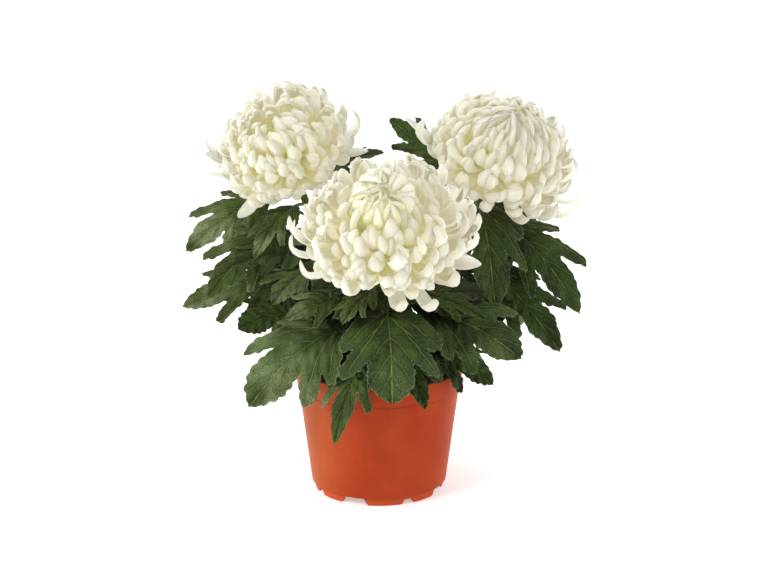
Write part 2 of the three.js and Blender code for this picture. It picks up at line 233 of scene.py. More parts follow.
def reshape(mesh, work):  # the mesh as the work on its bmesh leaves it
    shape = bmesh.new()
    shape.from_mesh(mesh)
    work(shape)
    shape.to_mesh(mesh)
    shape.free()
    return mesh


def joinAll(name, things):
    with bpy.context.temp_override(active_object=things[0], selected_editable_objects=things):
        bpy.ops.object.join()
    things[0].name = things[0].data.name = name
    return things[0]


def finishPiece(piece, node):
    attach(piece, "root")
    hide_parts(node)
    triangles = sum(len(face.vertices) - 2 for face in piece.data.polygons)
    print("made", piece.name, "with", triangles, "triangles")


def display(*levels):  # a colour as a screen shows it, 0 to 255
    return tuple(((level / 255 + 0.055) / 1.055) ** 2.4 if level > 10 else level / 3295 for level in levels)


def shade(net, values):  # feeds the inputs of a material's shader
    shader = net.tree.nodes["Principled BSDF"]
    for label, value in values.items():
        net.feed(shader.inputs[label], value)


def newMaterial(name, fixed):
    material = bpy.data.materials.new(name)
    material.use_nodes = True
    net = Net(material.node_tree)
    shade(net, fixed)
    return material, net


def coats(net, look, base, steps):  # colours over a base, one after the other
    colour = look[base]
    for factor, name in steps:
        colour = net.blend(factor, colour, look[name])
    return colour


def shaderAttribute(net, name):
    return net.node("ShaderNodeAttribute", attribute_name=name)


def objectPlace(net):
    return net.node("ShaderNodeTexCoord")["Object"]


# The pot

potLook = {
    "topRadius": 65.5,
    "baseRadius": 52,
    "height": 98,
    "wall": 1.5,
    "rimHeight": 15.5,
    "rimStep": 0.8,
    "footHeight": 6,
    "footInset": 1.8,
    "footWall": 2.4,
    "floor": 1.6,
    "cornerInset": 1.2,
    "innerCorner": 1.5,
    "footGap": 0.8,  # how far the gaps in the ring of feet stay below its root
    "notch": 0.6,  # of the feet's height
    "holeRadius": 4,
    "holeDepth": 12,
    "holeCircle": 37,
    "holes": 6,
    "sides": 144,
    "lip": 0.7,
    "litColour": display(175, 68, 33),
    "deepColour": display(161, 55, 28),
    "dustColour": display(182, 84, 46),
    "edgeColour": display(220, 122, 58),
    "soilMark": display(92, 52, 34),
    "fadedColour": display(188, 106, 58),
    "footColour": display(206, 92, 54),
}


def potMaterial():
    material, net = newMaterial("potPlastic", {"IOR": 1.49, "Specular IOR Level": 0.05})
    place = objectPlace(net)
    x, _, z = place.parts()
    cloud = net.noise(place, 26, 4, 0.55)
    grain = net.noise(place, 1500, 2, 0.6)
    rubbed = net.noise(place * (1.0, 1.0, 0.16), 190, 3, 0.6).smooth(0.56, 0.74)
    speck = 1 - net.cells(place, 300).smooth(0.05, 0.16)
    sparse = net.noise(place, 70).smooth(0.57, 0.66)
    nearRim = z.smooth(0.079, 0.097)
    nearFoot = 1 - z.smooth(0.003, 0.014)
    # painted shade: a dark line under the rim's step and another where the wall meets the feet
    seamShade = z.smooth(0.0804, 0.082) * (1 - z.smooth(0.0824, 0.0834))
    footShadowLine = z.smooth(0.0052, 0.0058) * (1 - z.smooth(0.0062, 0.007))
    glance = net.node("ShaderNodeLayerWeight", {"Blend": 0.5})["Facing"]
    colour = coats(net, potLook, "deepColour", [
        (cloud.smooth(0.2, 0.8), "litColour"),
        ((0 - x).smooth(0.016, 0.052) * 0.42, "fadedColour"),  # painted light: the left side lighter, as lit from the left
        # painted sheen: paler orange where the surface turns away towards its edges
        (glance.smooth(0.45, 1.0) * 0.14, "edgeColour"),
        ((1 - z.smooth(0.0052, 0.0066)) * 0.7, "footColour"),
        (rubbed * 0.16 + nearFoot * 0.14, "dustColour"),
        # soil specks near the rim, and the painted shade lines under the rim's step and above the feet
        (speck * sparse * (0.15 + nearRim * 0.2) + seamShade * 0.45 + footShadowLine * 0.4, "soilMark"),
    ])
    rings = (z * 2600).sin()
    height = grain * 0.5 + rings * 0.12 + net.noise(place, 420) * 0.6
    rough = 0.36 + cloud * 0.1 + rubbed * 0.14 + grain * 0.06
    shade(net, {"Base Color": colour, "Roughness": rough, "Normal": net.bump(height, 0.00012, 0.7)})
    return material


def wallRadius(z):
    taper = potLook["topRadius"] - potLook["rimStep"] - potLook["baseRadius"]
    return potLook["baseRadius"] + taper * z / potLook["height"]


def arc(centreX, centreZ, radius, fromDegrees, toDegrees, steps):
    angles = [radians(fromDegrees + (toDegrees - fromDegrees) * step / steps) for step in range(steps + 1)]
    return [(centreX + radius * cos(angle), centreZ + radius * sin(angle)) for angle in angles]


def turnedSpot(radius, angle, z):  # from millimetres to a point in metres
    return radius * cos(angle) * mm, radius * sin(angle) * mm, z * mm


def tubeFaces(rows, ring, first=0, isClosed=False):  # between rows of points, each row a ring
    faces = []
    for row in range(rows if isClosed else rows - 1):
        for k in range(ring):
            a, b = row * ring + k, row * ring + (k + 1) % ring
            c, d = [(at + ring) % (rows * ring) for at in (b, a)]
            faces.append((first + a, first + d, first + c, first + b))
    return faces


def lathe(name, profile, sides):  # a closed profile of radius and height, anticlockwise, turned about Z
    def clean(shape):
        bmesh.ops.remove_doubles(shape, verts=shape.verts, dist=1e-6)
        bmesh.ops.recalc_face_normals(shape, faces=shape.faces)

    points = [turnedSpot(r, 2 * pi * turn / sides, z) for turn in range(sides) for r, z in profile]
    mesh = meshFrom(name, points, tubeFaces(sides, len(profile), isClosed=True))
    return addObject(name, reshape(mesh, clean))


def footRing():
    gap, notch = potLook["footHeight"] - potLook["footGap"], potLook["footHeight"] * potLook["notch"]
    # how high its lower edge is at each angle of a quarter turn
    quarter = [(-14, gap), (-9, 0), (20, 0), (24, notch), (29, notch), (33, 0), (55, 0), (60, gap), (76, gap)]
    outer = potLook["baseRadius"] - potLook["footInset"]
    inner, top = outer - potLook["footWall"], potLook["footHeight"] + 0.6

    def lowEdge(degrees):
        place = (degrees + 14) % 90 - 14
        for (fromAngle, fromLow), (toAngle, toLow) in zip(quarter, quarter[1:]):
            if fromAngle <= place <= toAngle:
                share = (place - fromAngle) / (toAngle - fromAngle)
                return fromLow + (toLow - fromLow) * share * share * (3 - 2 * share)

    points = []
    around, bevel = 360, 0.25
    for turn in range(around):
        low = lowEdge(turn)
        section = [(outer - bevel, low), (outer, low + bevel), (outer, top)]
        section += [(inner, top), (inner, low + bevel), (inner + bevel, low)]
        points += [turnedSpot(r, radians(turn - 90), z) for r, z in section]
    return addObject("feet", meshFrom("feet", points, tubeFaces(around, len(section), isClosed=True)))


def makePot():
    p = potLook
    foot, rimFoot, top = p["footHeight"], p["height"] - p["rimHeight"], p["height"]
    lip, wall, corner = p["lip"], p["wall"] + p["rimStep"], p["innerCorner"]
    within = wallRadius(foot + 3) - p["wall"]
    profile = [
        (0, foot),
        (p["baseRadius"] - p["cornerInset"], foot),
        *arc(wallRadius(foot + 1) - 1, foot + 1, 1.0, -80, 0, 4),
        (wallRadius(rimFoot * 0.5), rimFoot * 0.5),
        (wallRadius(rimFoot - 0.4), rimFoot - 0.4),
        *arc(wallRadius(rimFoot) + p["rimStep"] - 0.4, rimFoot + 0.35, 0.4, -85, 0, 3),
        *arc(p["topRadius"] - lip, top - lip, lip, 5, 90, 4),
        *arc(p["topRadius"] - wall + 0.6, top - 0.6, 0.6, 90, 175, 4),
        (within, foot + p["floor"] + corner),
        *arc(within - corner, foot + p["floor"] + corner, corner, -10, -90, 3),
        (0, foot + p["floor"]),
    ]
    pot = lathe("pot_shell", profile, p["sides"])
    helpers = [footRing()]
    size = dict.fromkeys(("radius1", "radius2"), p["holeRadius"] * mm)
    size |= {"segments": 32, "depth": p["holeDepth"] * mm, "cap_ends": True}
    for hole in range(p["holes"] + 1):  # a ring of holes and one in the middle
        reach = 0 if hole == p["holes"] else p["holeCircle"]
        spot = turnedSpot(reach, 2 * pi * (hole + 0.5) / p["holes"], foot + p["floor"] / 2)
        size["matrix"] = Matrix.Translation(spot)
        drill = reshape(bpy.data.meshes.new("drill"), lambda shape: bmesh.ops.create_cone(shape, **size))
        helpers.append(addObject("drill", drill))
    for helper in helpers:
        cut = pot.modifiers.new(helper.name, "BOOLEAN")
        cut.operation = "UNION" if helper.name == "feet" else "DIFFERENCE"
        cut.object = helper
    settle(pot)
    for helper in helpers:
        bpy.data.objects.remove(helper)
    pot.data.shade_smooth()
    pot.data.set_sharp_from_angle(angle=radians(38))
    pot.data.materials.clear()
    pot.data.materials.append(potMaterial())
    finishPiece(pot, "pot")


makePot()

# The soil

soilLook = {
    "top": 83,
    "ripple": 1.4,
    "mound": 2,
    "clearance": 0.35,
    "wallGap": 0.15,
    "rings": 34,
    "sides": 96,
    "fullTurn": 6.283,
    "crumbs": 620,
    "crumbSize": 1.5,
    "area": 0.0115,  # of its top, in square metres
    "seed": 11,
    "wetColour": display(30, 21, 15),
    "dryColour": display(74, 55, 40),
    "fibreColour": display(112, 88, 62),
}


def soilMaterial():
    material, net = newMaterial("pottingSoil", {"Specular IOR Level": 0.2})
    place = objectPlace(net)
    damp = net.noise(place, 60, 5, 0.65)
    fine = net.noise(place, 700, 4, 0.7)
    fibres = net.noise(place * (1.0, 0.22, 0.4), 900, 3, 0.6).smooth(0.6, 0.7)
    steps = [(damp.smooth(0.35, 0.68), "dryColour"), (fibres * 0.55, "fibreColour")]
    bumps = net.bump(fine + net.cells(place, 420) * 0.8 + fibres * 0.4, 0.0007, 0.9)
    colour = coats(net, soilLook, "wetColour", steps)
    shade(net, {"Base Color": colour, "Roughness": 0.8 + damp * 0.18, "Normal": bumps})
    return material


def crumbTree():
    inputs = {"Crumb": "Object", "Material": "Material", "Count": "Int", "Size": "Float", "Seed": "Int"}
    net, given = newTree("crumbs", inputs)
    sockets = {
        "Mesh": given["Geometry"],
        "Selection": attributeOf(net, "soilTop") > 0.5,
        "Density": given["Count"] / soilLook["area"],
        "Seed": given["Seed"],
    }
    spread = net.node("GeometryNodeDistributePointsOnFaces", sockets, distribute_method="RANDOM")
    ident = net.node("GeometryNodeInputIndex")
    turned = [drawn(net, 0.0, soilLook["fullTurn"], ident, given["Seed"] + k) for k in (1, 2, 3)]
    flat = [drawn(net, 0.5, 1.0, ident, given["Seed"] + k) for k in (4, 5, 6)]
    size = given["Size"] * (drawn(net, 0.55, 1.25, ident, given["Seed"] + 7) ** 2.6)
    placing = {"Rotation": net.vector(*turned), "Scale": net.vector(*flat) * size}
    crumbs = growOn(net, spread, given["Crumb"], placing)
    rough = net.noise(net.node("GeometryNodeInputPosition"), 520, 2, 0.6)["Color"] - 0.5
    worn = net.node("GeometryNodeSetPosition", {"Geometry": crumbs, "Offset": rough * (given["Size"] * 1.1)})
    return closeTree(net, [given["Geometry"], worn], given["Material"])


def makeSoil():
    s = soilLook
    sides, rings, mound = s["sides"], s["rings"], s["mound"]
    bottom = potLook["footHeight"] + potLook["floor"] + s["clearance"]
    base, wide = [wallRadius(z) - potLook["wall"] - s["clearance"] - s["wallGap"] for z in (bottom, s["top"])]
    points, top, faces = [(0, 0, bottom * mm), (0, 0, (s["top"] + mound) * mm)], [0.0, 1.0], []
    for ring in range(-1, rings):  # the edge of the bottom, then from the wall to the middle
        radius = base if ring < 0 else wide * (1 - ring / rings)
        share = radius / wide
        for side in range(sides):
            angle = 2 * pi * side / sides
            x, y = radius * cos(angle), radius * sin(angle)
            lumps = sin(x * 0.19 + 1.3) * cos(y * 0.17 - 0.4) + 0.5 * sin(x * 0.43 - y * 0.37)
            z = s["top"] + s["ripple"] * (lumps * (1 - share ** 4) - share ** 6) + mound * (1 - share)
            points.append((x * mm, y * mm, (bottom if ring < 0 else z) * mm))
            top.append(float(ring > 2))
    for ring in range(rings + 1):
        for side in range(sides):
            a, b = 2 + ring * sides + side, 2 + ring * sides + (side + 1) % sides
            if ring == 0:
                faces.append((0, b, a))
            faces.append((a, b, b + sides, a + sides) if ring < rings else (a, b, 1))
    mesh = meshFrom("potting_soil", points, faces)
    writeAttribute(mesh, "soilTop", top)
    soil = addObject("potting_soil", mesh)
    lump = bpy.data.meshes.new("crumb")
    reshape(lump, lambda shape: bmesh.ops.create_icosphere(shape, subdivisions=1, radius=1.0))
    crumb = addObject("crumb", lump)
    values = {"Crumb": crumb, "Material": soilMaterial(), "Count": s["crumbs"], "Seed": s["seed"]}
    addStep(soil, crumbTree(), values | {"Size": s["crumbSize"] * mm})
    settle(soil)
    bpy.data.objects.remove(crumb)
    finishPiece(soil, "soil")


makeSoil()

# The plants: where each stem stands, and the centre, axis and half sizes of its bloom, in millimetres

plants = {
    "left": dict(foot=(-20, 14), centre=(-74.5, 40, 258), axis=(-0.29, -0.6, 0.75), radius=66, dome=50),
    "front": dict(foot=(3, -20), centre=(4, -62, 210), axis=(0, -0.5, 0.87), radius=72, dome=52),
    "right": dict(foot=(23, 14), centre=(92.5, 40, 253), axis=(0.27, -0.49, 0.83), radius=66, dome=50),
}
stemLook = {
    "radius": 3,
    "plantedTo": 50,
    "rise": 75,  # of its curve's first handle above its foot
    "approach": 26,  # of its last handle before its end
    "seat": 0.36,
    "bractDepth": 8,
    "bractGap": 0.35,
    "bractRadius": 11,
}


def bloomFrame(plant):  # the matrix from a bloom's own frame, in metres, to the part's
    along = Vector(plant["axis"]).normalized()
    level = Vector((0, 0, 1)).cross(along).normalized()
    turned = Matrix((level, along.cross(level), along)).transposed().to_4x4()
    return Matrix.Translation(Vector(plant["centre"]) * mm) @ turned


def stemPath(plant):  # points up the stem
    along = Vector(plant["axis"]).normalized()
    drop = stemLook["seat"] * plant["dome"] + stemLook["bractGap"] + stemLook["bractDepth"] * 0.7
    end = Vector(plant["centre"]) - along * drop
    start = Vector((*plant["foot"], stemLook["plantedTo"]))
    ends = [start, start + Vector((0, 0, stemLook["rise"])), end - along * stemLook["approach"], end]
    fine = 400
    line = []
    for step in range(fine + 1):
        t = step / fine
        weights = [(1 - t) ** 3, 3 * t * (1 - t) ** 2, 3 * t * t * (1 - t), t ** 3]
        line.append(sum((point * weight for point, weight in zip(ends, weights)), Vector()) * mm)
    return line


def lengthsAlong(line):
    lengths = [0.0]
    for a, b in zip(line, line[1:]):
        lengths.append(lengths[-1] + (b - a).length)
    return lengths


def alongPath(line, share):
    lengths = lengthsAlong(line)
    goal = share * lengths[-1]
    at = next((k for k in range(1, len(line)) if lengths[k] >= goal), len(line) - 1)
    part = (goal - lengths[at - 1]) / (lengths[at] - lengths[at - 1])
    return line[at - 1].lerp(line[at], part)


# The leaves. Each has its place up the stem, its tip, how far its midrib's control point stands above
# the chord, its blade's full width, its roll about the midrib in degrees, and, where they matter, how far
# the control point stands out, and how shaded the leaf is.

leaves = {
    "left": [
        (0.9, (-151, 24, 182), 26, 52, -50),
        (0.86, (-94, -20, 186), 24, 34, -12),
        (0.74, (-131, -14, 153), 38, 54, -50),
        (0.56, (-155.5, 26, 137), 16, 54, -50),
        (0.64, (-111, -20, 181), 14, 44, -30, 0, 0.35),
        (0.4, (-109, -4, 127), 18, 50, -42, 0, 0.2),
        (0.6, (-79, -46, 157), 18, 44, -25),
        (0.8, (-122, 80, 176), 34, 52, 12),
        (0.66, (-66, 122, 160), 38, 54, 10),
        (0.52, (-104, 84, 122), 38, 54, 0),
        (0.4, (-52, 106, 92), 44, 50, 0),
        (0.34, (-92, 42, 82), 40, 46, 0),
        (0.93, (4, 60, 255), 12, 38, 20),
        (0.7, (-71, 0, 164), 10, 56, -20, 0, 0.8),
        (0.62, (-62, 2, 134), 6, 62, -10, 0, 0.8),
        (0.66, (-98, 22, 138), 10, 62, -20, 0, 0.7),
    ],
    "front": [
        (0.8, (10, -112, 101), 30, 76, 0, 32),
        (0.6, (-97, -60, 82), 44, 74, -42),
        (0.76, (-68, -66, 151), 16, 40, -35),
        (0.88, (-26, -98, 156), 8, 28, -10, 6),
        (0.42, (-32, -92, 63), 56, 46, 0),
        (0.38, (34, -92, 90), 40, 42, 5),
        (0.62, (106, -56, 118), 36, 66, 45),
        (0.42, (87, -36, 92), 30, 50, 30),
        (0.78, (79, -64, 150), 20, 30, 30),
        (0.46, (-36, -66, 98), 24, 44, 0, 0, 0.9),
        (0.66, (-60, -34, 158), 8, 56, -20, 0, 0.85),
        (0.72, (72, -34, 152), 10, 58, 20, 0, 0.85),
        (0.56, (47, -58, 118), 20, 52, 15, 0, 0.85),
        (0.86, (-19, -76, 166), 6, 42, -15, 0, 0.4),
        (0.86, (26, -76, 166), 6, 44, 15, 0, 0.4),
        (0.6, (4, -68, 132), 14, 60, 0, 0, 0.95),
        (0.76, (-57, -40, 186), 4, 46, -20, 0, 0.6),
        (0.76, (80, -30, 163), 6, 52, 20, 0, 0.6),
        (0.86, (-25, -19, 124), 2, 56, -8, 0, 0.95),
        (0.86, (30, -18, 124), 2, 56, 8, 0, 0.95),
    ],
    "right": [
        (0.86, (88, -30, 151), 56, 62, 0),
        (0.84, (155, -4, 139), 42, 60, 48),
        (0.7, (140, -10, 110), 26, 60, 42),
        (0.9, (122, 30, 180), 26, 36, 40),
        (0.76, (136, 74, 152), 38, 54, -10),
        (0.64, (90, 122, 158), 38, 54, 0),
        (0.52, (118, 80, 108), 40, 54, 0),
        (0.4, (62, 104, 88), 44, 50, 0),
        (0.34, (86, 40, 80), 36, 46, 0),
        (0.8, (24, 106, 196), 26, 48, 0),
        (0.54, (8, 114, 122), 40, 52, 0),
        (0.68, (54, -10, 152), 16, 44, 5, 0, 0.5),
        (0.91, (8, 78, 280), 6, 40, -50),
        (0.88, (22, 76, 236), 18, 44, -45),
        (0.5, (92, -20, 132), 14, 58, 25, 0, 0.7),
    ],
}

leafLook = {
    "stalkRadius": 1.3,
    "stalkShare": 0.24,
    "thickness": 0.5,
    "foldDegrees": 14,
    "aspect": 0.36,  # half the blade's width as a share of its length, in the flat pattern
    "gridStep": 0.023,
    "toothDepth": 0.014,
    "teeth": 25,
    "rimShare": 0.35,  # of its thickness at its edge, which it reaches over rimRun
    "rimRun": 0.02,
    "reliefDepth": 1.5,
    "quilt": 0.45,  # how deep its swellings are as a share of its relief
    "groove": 0.026,
    "wave": 3.2,
    "kinds": 4,
    "slimBelow": 0.56,  # a leaf whose width is a smaller share of its length has narrow lobes
    "wander": 0.03,
    "seed": 5,
    "upper": display(52, 75, 20),
    "upperDeep": display(24, 40, 7),
    "upperLight": display(98, 116, 50),
    "bloomed": display(112, 126, 84),
    "vein": display(142, 156, 78),
    "under": display(112, 132, 84),
    "hair": display(160, 168, 132),
    "speck": display(168, 116, 56),
    "shade": display(13, 20, 6),
}

# One half of the flat blade: the share of its length along, and of its half width across.
bladeEdges = [
    [  # broad lobes
        (0.0, 0.05), (0.0, 0.2), (0.02, 0.36), (0.06, 0.5), (0.12, 0.62), (0.19, 0.74),
        (0.27, 0.86), (0.35, 0.95), (0.42, 0.98), (0.475, 0.95), (0.505, 0.87), (0.5, 0.78),
        (0.48, 0.7), (0.54, 0.75), (0.6, 0.84), (0.67, 0.93), (0.735, 0.96), (0.775, 0.91),
        (0.775, 0.81), (0.745, 0.7), (0.7, 0.58), (0.655, 0.48), (0.625, 0.41), (0.68, 0.42),
        (0.74, 0.45), (0.8, 0.45), (0.85, 0.43), (0.875, 0.37), (0.91, 0.33), (0.945, 0.24),
        (0.972, 0.14), (0.99, 0.06),
    ],
    [  # narrow lobes
        (0.0, 0.05), (0.01, 0.16), (0.04, 0.3), (0.09, 0.44), (0.15, 0.56), (0.22, 0.68),
        (0.3, 0.8), (0.37, 0.88), (0.43, 0.9), (0.465, 0.84), (0.46, 0.74), (0.435, 0.62),
        (0.405, 0.52), (0.385, 0.44), (0.44, 0.5), (0.51, 0.6), (0.58, 0.72), (0.65, 0.83),
        (0.715, 0.9), (0.76, 0.88), (0.77, 0.78), (0.74, 0.66), (0.7, 0.54), (0.65, 0.43),
        (0.61, 0.34), (0.66, 0.35), (0.72, 0.38), (0.78, 0.38), (0.82, 0.35), (0.838, 0.29),
        (0.87, 0.29), (0.905, 0.25), (0.937, 0.18), (0.965, 0.11), (0.985, 0.05),
    ],
]
# Its veins: where each starts and ends, and its width.
veins = [
    ((-0.1, 0.0), (1.0, 0.0), 1.0),
    ((0.02, 0.0), (0.2, 0.36), 0.7),
    ((0.2, 0.36), (0.44, 0.86), 0.55),
    ((0.1, 0.16), (0.15, 0.54), 0.4),
    ((0.08, 0.0), (0.42, 0.4), 0.8),
    ((0.42, 0.4), (0.74, 0.86), 0.6),
    ((0.3, 0.26), (0.5, 0.66), 0.4),
    ((0.36, 0.0), (0.6, 0.34), 0.45),
    ((0.56, 0.0), (0.82, 0.38), 0.45),
    ((0.74, 0.0), (0.93, 0.22), 0.4),
]


def smoothLine(points, perSpan):  # a Catmull-Rom curve through the points
    line = []
    ends = [points[0], *points, points[-1]]
    for span in zip(ends, ends[1:], ends[2:], ends[3:]):
        for step in range(perSpan):
            t = step / perSpan
            weights = [-t + 2 * t * t - t ** 3, 2 - 5 * t * t + 3 * t ** 3]
            weights += [t + 4 * t * t - 3 * t ** 3, t ** 3 - t * t]
            line.append(sum((point * weight * 0.5 for point, weight in zip(span, weights)), Vector((0, 0))))
    return line + [points[-1]]


def halfEdge(edge, rand, sign):  # one side of the flat outline, from the stalk to just before the tip
    look = leafLook

    def wander():
        return rand.uniform(-0.3, 0.3) * look["wander"]

    drift = [rand.uniform(-1, 1) * look["wander"] for _ in range(6)]
    points = []
    for along, across in edge:
        slide = drift[0] * sin(along * 9 + drift[1] * 90) + wander() * across
        grow = 1 + 2.2 * drift[2] * sin(along * 7 + drift[3] * 120) + wander()
        points.append(Vector((along + slide * min(1, across * 2), across * grow * look["aspect"] * sign)))
    line = smoothLine(points, 5)
    lengths = lengthsAlong(line)
    toothed = []
    depths = [rand.uniform(0.2, 1.5) for _ in range(look["teeth"] + 1)]
    for at, point in enumerate(line):
        before, after = line[max(0, at - 1)], line[min(len(line) - 1, at + 1)]
        run = (after - before).normalized()
        outward = Vector((run.y, -run.x)) * -sign
        phase = lengths[at] / lengths[-1] * look["teeth"]
        tooth = abs(sin(phase * pi)) * depths[int(phase)] - 0.4
        toothed.append(point + outward * look["toothDepth"] * tooth * min(1, at / 12))
    return toothed


def distanceTo(point, a, b):
    _, share = intersect_point_line(point.to_3d(), a.to_3d(), b.to_3d())
    return (point - a.lerp(b, min(1.0, max(0.0, share)))).length


def veinLine(start, end, sign):
    return [Vector((along, across * leafLook["aspect"] * sign)) for along, across in (start, end)]


def bladeSpots(outline, rand):  # the points of the flat blade inside its outline
    segments = list(zip(outline, outline[1:] + outline[:1]))
    step = leafLook["gridStep"]

    def isInside(point):
        crossed = [(a, b) for a, b in segments if (a.y > point.y) != (b.y > point.y)]
        hits = [point.x < a.x + (b.x - a.x) * (point.y - a.y) / (b.y - a.y) for a, b in crossed]
        return sum(hits) % 2 == 1

    def clearance(point):
        return min(distanceTo(point, a, b) for a, b in segments)

    along = [0.004 + k * step / 1.35 for k in range(int(1.0 / step * 1.35))]
    spots = [Vector((x, 0)) for x in along if x < 0.985]  # the midrib, so that the blade folds along it
    for row in range(-int(0.5 / step), int(0.5 / step) + 1):
        for column in range(int(1.1 / step)):
            spot = Vector((column * step + (row % 2) * step / 2, row * step * 0.87))
            spot += Vector((rand.uniform(-0.12, 0.12), rand.uniform(-0.12, 0.12))) * step
            if abs(spot.y) > 0.5 * step and isInside(spot) and clearance(spot) > 0.55 * step:
                spots.append(spot)
    return spots, clearance


def leafPattern(kind):  # the flat leaf as a closed shell, in shares along and across with its lift in metres
    look = leafLook
    rand = random.Random(look["seed"] + kind)
    right, left = [halfEdge(bladeEdges[kind % 2], rand, sign) for sign in (1, -1)]
    outline = [Vector((-0.015, 0)), *right, Vector((1.0, 0)), *reversed(left)]
    around = len(outline)
    lines = [(veinLine(start, end, sign), weight) for start, end, weight in veins for sign in (1, -1)]
    spots, clearance = bladeSpots(outline, rand)
    flat, _, triangles, *_ = delaunay_2d_cdt(outline + spots, [], [list(range(around))], 1, 1e-6)
    blade = []  # each point's place, lift, half thickness and distance from the edge
    for at, point in enumerate(flat):
        room = clearance(point) if at >= around else 0.0
        gaps = [(distanceTo(point, *ends) / look["groove"], weight) for ends, weight in lines]
        groove = sum(weight * exp(-(gap ** 2)) * 0.5 for gap, weight in gaps)
        quilt = look["quilt"] * sin(point.x * 58 - abs(point.y) * 40)
        quilt = quilt * min(1, abs(point.y) / 0.06) * min(1, room / 0.03)
        rounding = min(1, room / look["rimRun"])
        lift = look["reliefDepth"] * (quilt - min(groove, 1.0)) * rounding
        lens = look["thickness"] / 2 * (look["rimShare"] + (1 - look["rimShare"]) * rounding)
        blade.append((point.x, point.y / look["aspect"], lift, lens, min(1.0, room / 0.05)))
    count = len(flat)
    shell = [(x, y, (lift + skin * lens) * mm) for skin in (1, -1) for x, y, lift, lens, _ in blade]
    places = [(x, y, float(skin)) for skin in (1, -1) for x, y, *_ in blade]
    edge = [nearEdge for *_, nearEdge in blade] * 2
    faces = [tuple(reversed(face)) for face in triangles]
    faces += [tuple(at + count for at in face) for face in triangles]
    rim = [(at, (at + 1) % around) for at in range(around)]
    faces += [(a, b, b + count, a + count) for a, b in rim]
    sharp = rim + [(a + count, b + count) for a, b in rim]
    sides = [0.0] * len(shell)
    ring, first = 8, len(shell)
    stations = [-0.315, -0.27, -0.2, -0.14, -0.07, 0.0, 0.06, 0.14, 0.24, 0.36, 0.5, 0.66, 0.84, 0.97]
    for along in stations:  # the stalk and the midrib
        slimmer = 1 - 0.82 * min(1, max(0.0, along) / 0.9)
        radius = look["stalkRadius"] * slimmer * (1.3 if along < -0.25 else 1.0)
        sunk = min(1, max(0, (along + 0.02) / 0.1)) * (look["reliefDepth"] * 0.9 + radius * 0.35)
        for k in range(ring):
            angle = 2 * pi * k / ring
            shell.append((along, 0.0, (radius * sin(angle) - sunk) * mm))
            sides.append(radius * cos(angle) * mm * (0.9 if along > 0 else 1))
            places.append((along, 0.0, 0.0))
            edge.append(1.0)
    faces += tubeFaces(len(stations), ring, first)
    faces.append(tuple(first + k for k in range(ring)))
    faces.append(tuple(first + (len(stations) - 1) * ring + k for k in reversed(range(ring))))
    mesh = meshFrom(f"leafPattern{kind}", shell, faces, sharp)
    writeAttribute(mesh, "leafSpot", places)
    writeAttribute(mesh, "stalkSide", sides)
    writeAttribute(mesh, "margin", edge)
    return addObject(f"leafPattern{kind}", mesh)


def leafTree():
    inputs = {"Pattern": "Object", "Material": "Material", "Kind": "Int"}
    net, given = newTree("leafSpray", inputs | dict.fromkeys(("Stalk Share", "Fold", "Wave"), "Float"))
    isOther = abs(attributeOf(net, "kind") - given["Kind"]) > 0.5
    plan = given["Geometry"]
    real = growOn(net, plan, given["Pattern"], {"Selection": 1 - isOther})
    start, control, tip = [attributeOf(net, name, "FLOAT_VECTOR") for name in ("start", "control", "tip")]
    wide, roll, tone, stalk = [attributeOf(net, name) for name in ("wide", "roll", "tone", "stalkSide")]
    along, across, lift = net.node("GeometryNodeInputPosition").parts()
    share = given["Stalk Share"] + (1 - given["Stalk Share"]) * along
    back = 1 - share
    point = start * (back * back) + control * (2 * share * back) + tip * (share * share)
    tangent = ((control - start) * back + (tip - control) * share).unit()
    side = (tip - start).cross((0.0, 0.0, 1.0)).unit()
    turn = roll * (2 * along).most(0.0).least(1.0)
    sideways = side * turn.cos() + tangent.cross(side) * turn.sin()
    face = sideways.cross(tangent)
    reach = across * wide * 0.5
    ripple = net.noise(net.vector(along * 2.2, across * 1.3, tone * 40), 1.6, 1)
    wave = (ripple - 0.5) * given["Wave"] * abs(across).smooth(0.05, 1.0) * 3
    rise = given["Fold"] * abs(reach) - reach * reach / (1.1 * wide) + wave + lift
    place = point + sideways * (reach + stalk) + face * rise
    bent = net.node("GeometryNodeSetPosition", {"Geometry": real, "Position": place})
    return closeTree(net, [plan, bent], given["Material"])


def veinWires(net, flat):  # how near the nearest vein is, by its width and plainly, and how far up it
    nearest, beside, passed = None, None, None
    for start, end, width in veins:
        a, b = [spot.to_3d() for spot in veinLine(start, end, 1)]
        run = b - a
        offset = flat - a
        share = (offset.dot(run) / run.length_squared).most(0.0).least(1.0)
        gap = (offset - share * run).size()
        line = gap / width + share * 0.0015
        reached = share * run.length + a.x
        if nearest is None:
            nearest, beside, passed = line, gap, reached
        else:
            passed = passed + (reached - passed) * (beside > gap)
            nearest, beside = nearest.least(line), beside.least(gap)
    return nearest, beside, passed


